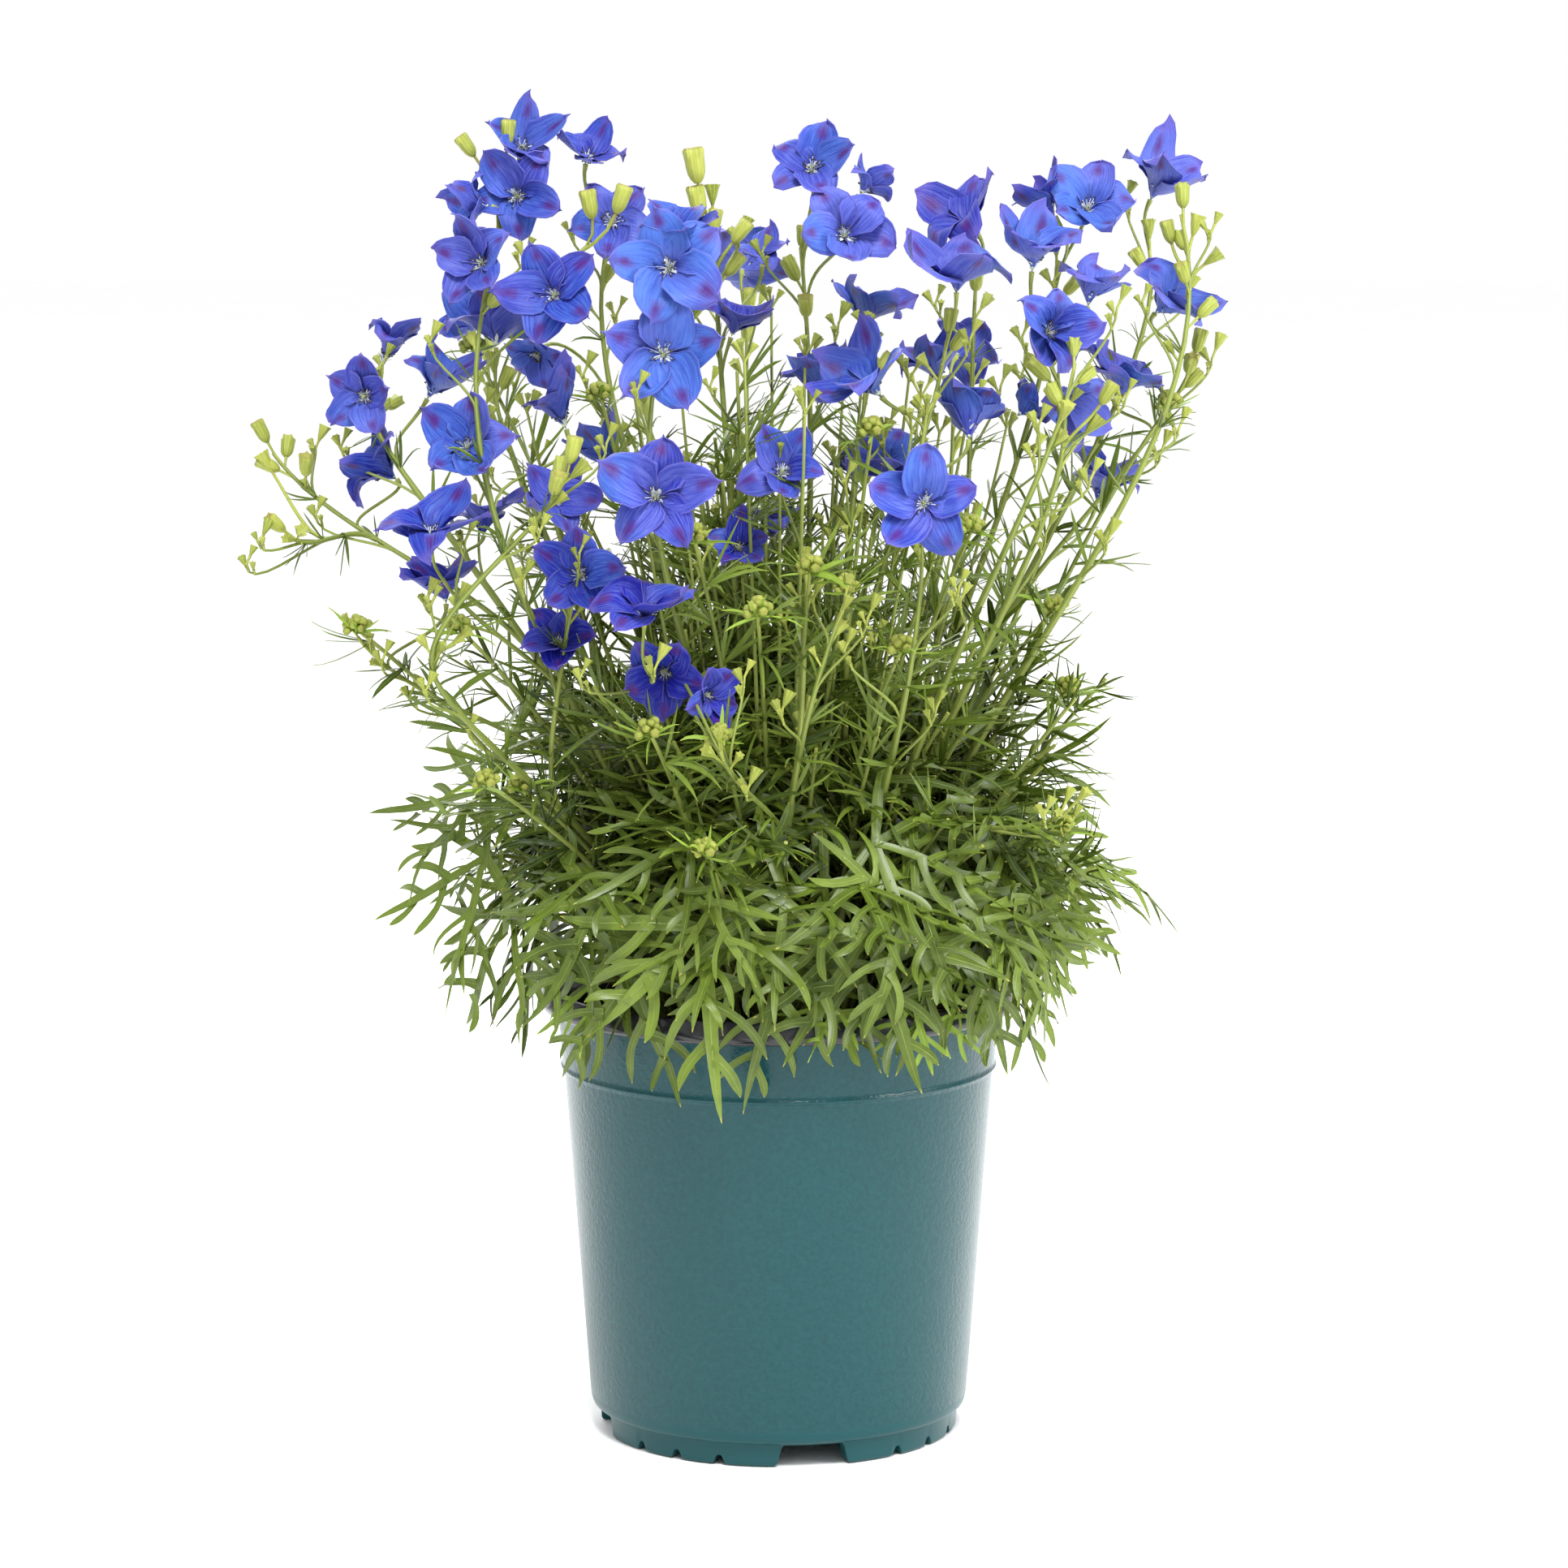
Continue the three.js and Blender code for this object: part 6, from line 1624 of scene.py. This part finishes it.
# %% Star leaves over the lip and young ones under them
RIM_LEAVES = [  # joint, normal, forward, span: the front stars and the widest leaves left and right
    ((-28, -92, 201), (0, -1, 0.3), (0.15, 0, -1), 63),
    ((31, -92, 199), (0.1, -1, 0.3), (0.35, 0, -1), 58),
    ((-63, -74, 208), (-0.4, -1, 0.3), (-0.5, 0, -1), 52),
    ((2, -96, 212), (0, -1, 0.5), (-0.9, 0, -0.6), 50),
    ((62, -74, 196), (0.45, -1, 0.2), (0.6, 0, -1), 54),
    ((0, -88, 187), (0, -1, 0.1), (-0.2, 0, -1), 50),
    ((-52, -80, 184), (-0.5, -1, 0.1), (-0.7, 0, -1), 50),
    ((-30, -84, 232), (0, -1, 0.8), (-0.6, 0, -0.5), 48),
    ((34, -84, 230), (0.1, -1, 0.8), (0.7, 0, -0.3), 48),
    ((-108, -10, 238), (-0.5, -0.6, 0.8), (-1, 0, 0.25), 50),
    ((-106, -22, 216), (-0.6, -0.8, 0.5), (-1, 0, -0.3), 50),
    ((-96, -34, 196), (-0.7, -0.7, 0.2), (-0.7, 0, -0.7), 52),
    ((96, -6, 220), (0.5, -0.6, 0.7), (1, 0, -0.2), 46),
    ((94, -24, 204), (0.6, -0.8, 0.4), (1, 0, -0.6), 48),
    ((84, -40, 188), (0.7, -0.7, 0.2), (0.5, 0, -1), 50),
    ((48, -90, 214), (0.3, -1, 0.5), (1, 0, -0.3), 46)]
YOUNG_LEAVES = [  # joint, bearing of the middle lobe from the right, span: fresh leaves by the lip
    ((-66, -62, 176), 200, 30), ((48, -78, 172), -20, 32), ((20, -86, 173), 195, 24),
    ((66, -60, 178), -60, 28), ((84, -30, 176), -30, 26), ((-84, -20, 178), 215, 26),
    ((0, 84, 176), 90, 28)]


def placed_leaves(joint, normal, aim, span, ring):
    """Leaves with a written joint: forward is the aim laid in the plane across the normal."""
    forward = unit(aim - (aim * normal).sum(1, keepdims=True) * normal)
    foot = unit(joint * [1, 1, 0]) * ring + [0, 0, SOIL_TOP]
    return joint, forward, np.cross(normal, forward), span, foot


def rim_leaves():
    """Each rim leaf's joint, facing, aim and span are written in its row."""
    joint, normal, aim, span = (column(RIM_LEAVES, place) for place in range(4))
    return placed_leaves(joint, unit(normal), aim, span, 44)


def young_leaves():
    """Each young leaf faces outwards and a little up, with its middle lobe on its bearing."""
    joint, bearing, span = (column(YOUNG_LEAVES, place) for place in range(3))
    normal = unit(unit(joint * [1, 1, 0]) + [0, 0, 0.5])
    aim = turned(RIGHT, 0.3 * BACK + UP, np.radians(bearing))
    return placed_leaves(joint, normal, aim, span, 50)


leaf_pieces("rim_leaves", "rim_stalks", rim_leaves(), 0.12,
            0.35 + 0.5 * draw(np.arange(len(RIM_LEAVES)), 9.0), 90, leaf_green)
joint, forward, side, span, foot = young_leaves()
all_young = np.ones(len(span))
make_piece("young_leaves", leaves(joint, forward, side, span, 0.1 * all_young, 0.6 * all_young, 95),
           [leaf_fresh])
make_piece("young_stalks", leaf_stalks(foot, joint, forward, 165.0, 0.7), [stem_green])


# %% More leaves between them
def mound_leaves(count, seed):
    """Leaves spread over a dome, each lying along it and turned in its own plane.

    At level 0 a leaf faces outwards near the pot's lip, and at level 1 it faces up among the
    stems. Its middle lobe points down the dome, turned to either side by up to 95 degrees at level
    0 and 125 at level 1. The leaves that lie deeper in the dome are darker, as painted shade.
    """
    rng = np.random.default_rng(seed)
    outward = bearings(2 * np.pi * (np.arange(count) * 0.618034 + rng.uniform(-0.04, 0.04, count)))
    level = rng.uniform(0, 1, count) ** 0.95
    depth = rng.uniform(0, 1, count)
    reach = (101 - 60 * level**1.7) * (0.84 + 0.21 * depth)
    height = 199 + 58 * level + rng.uniform(-8, 8, count)
    joint = outward * reach[:, None] + height[:, None] * UP
    climb = np.radians(12 + 66 * level + rng.normal(0, 13, count))
    ahead = turned(outward, np.cross(UP, outward), np.radians(rng.normal(0, 18, count)))
    normal = turned(ahead, UP, climb)
    down = turned(-UP, ahead, climb)
    turn = np.radians(rng.uniform(-1, 1, count) * (95 + 30 * level))
    forward = turned(down, np.cross(normal, down), turn)
    span = rng.uniform(38, 52, count)
    foot = outward * rng.uniform(12, 44, (count, 1)) + [0, 0, SOIL_TOP]
    # painted shade: the further in a leaf lies, the lower its tone and the darker its green
    tone = np.clip(0.1 + 0.8 * depth + 0.15 * rng.normal(size=count), 0, 1)
    droop = rng.uniform(-0.05, 0.2, count)
    return (joint, forward, np.cross(normal, forward), span, foot), droop, tone


for part, finish in enumerate((leaf_green, leaf_deep)):
    placed, droop, tone = mound_leaves(32, 71 + part)
    leaf_pieces(f"mound_leaves_{part + 1}", f"mound_stalks_{part + 1}", placed, droop, tone,
                81 + part, finish)

# %% Write the sizes and finish
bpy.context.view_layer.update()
meshes = [o.data for o in bpy.data.objects if o.type == "MESH" and "surface" in o.data.uv_layers]
print("points added:", sum(len(mesh.vertices) for mesh in meshes))
print("triangles added:", sum(len(mesh.loops) - 2 * len(mesh.polygons) for mesh in meshes))
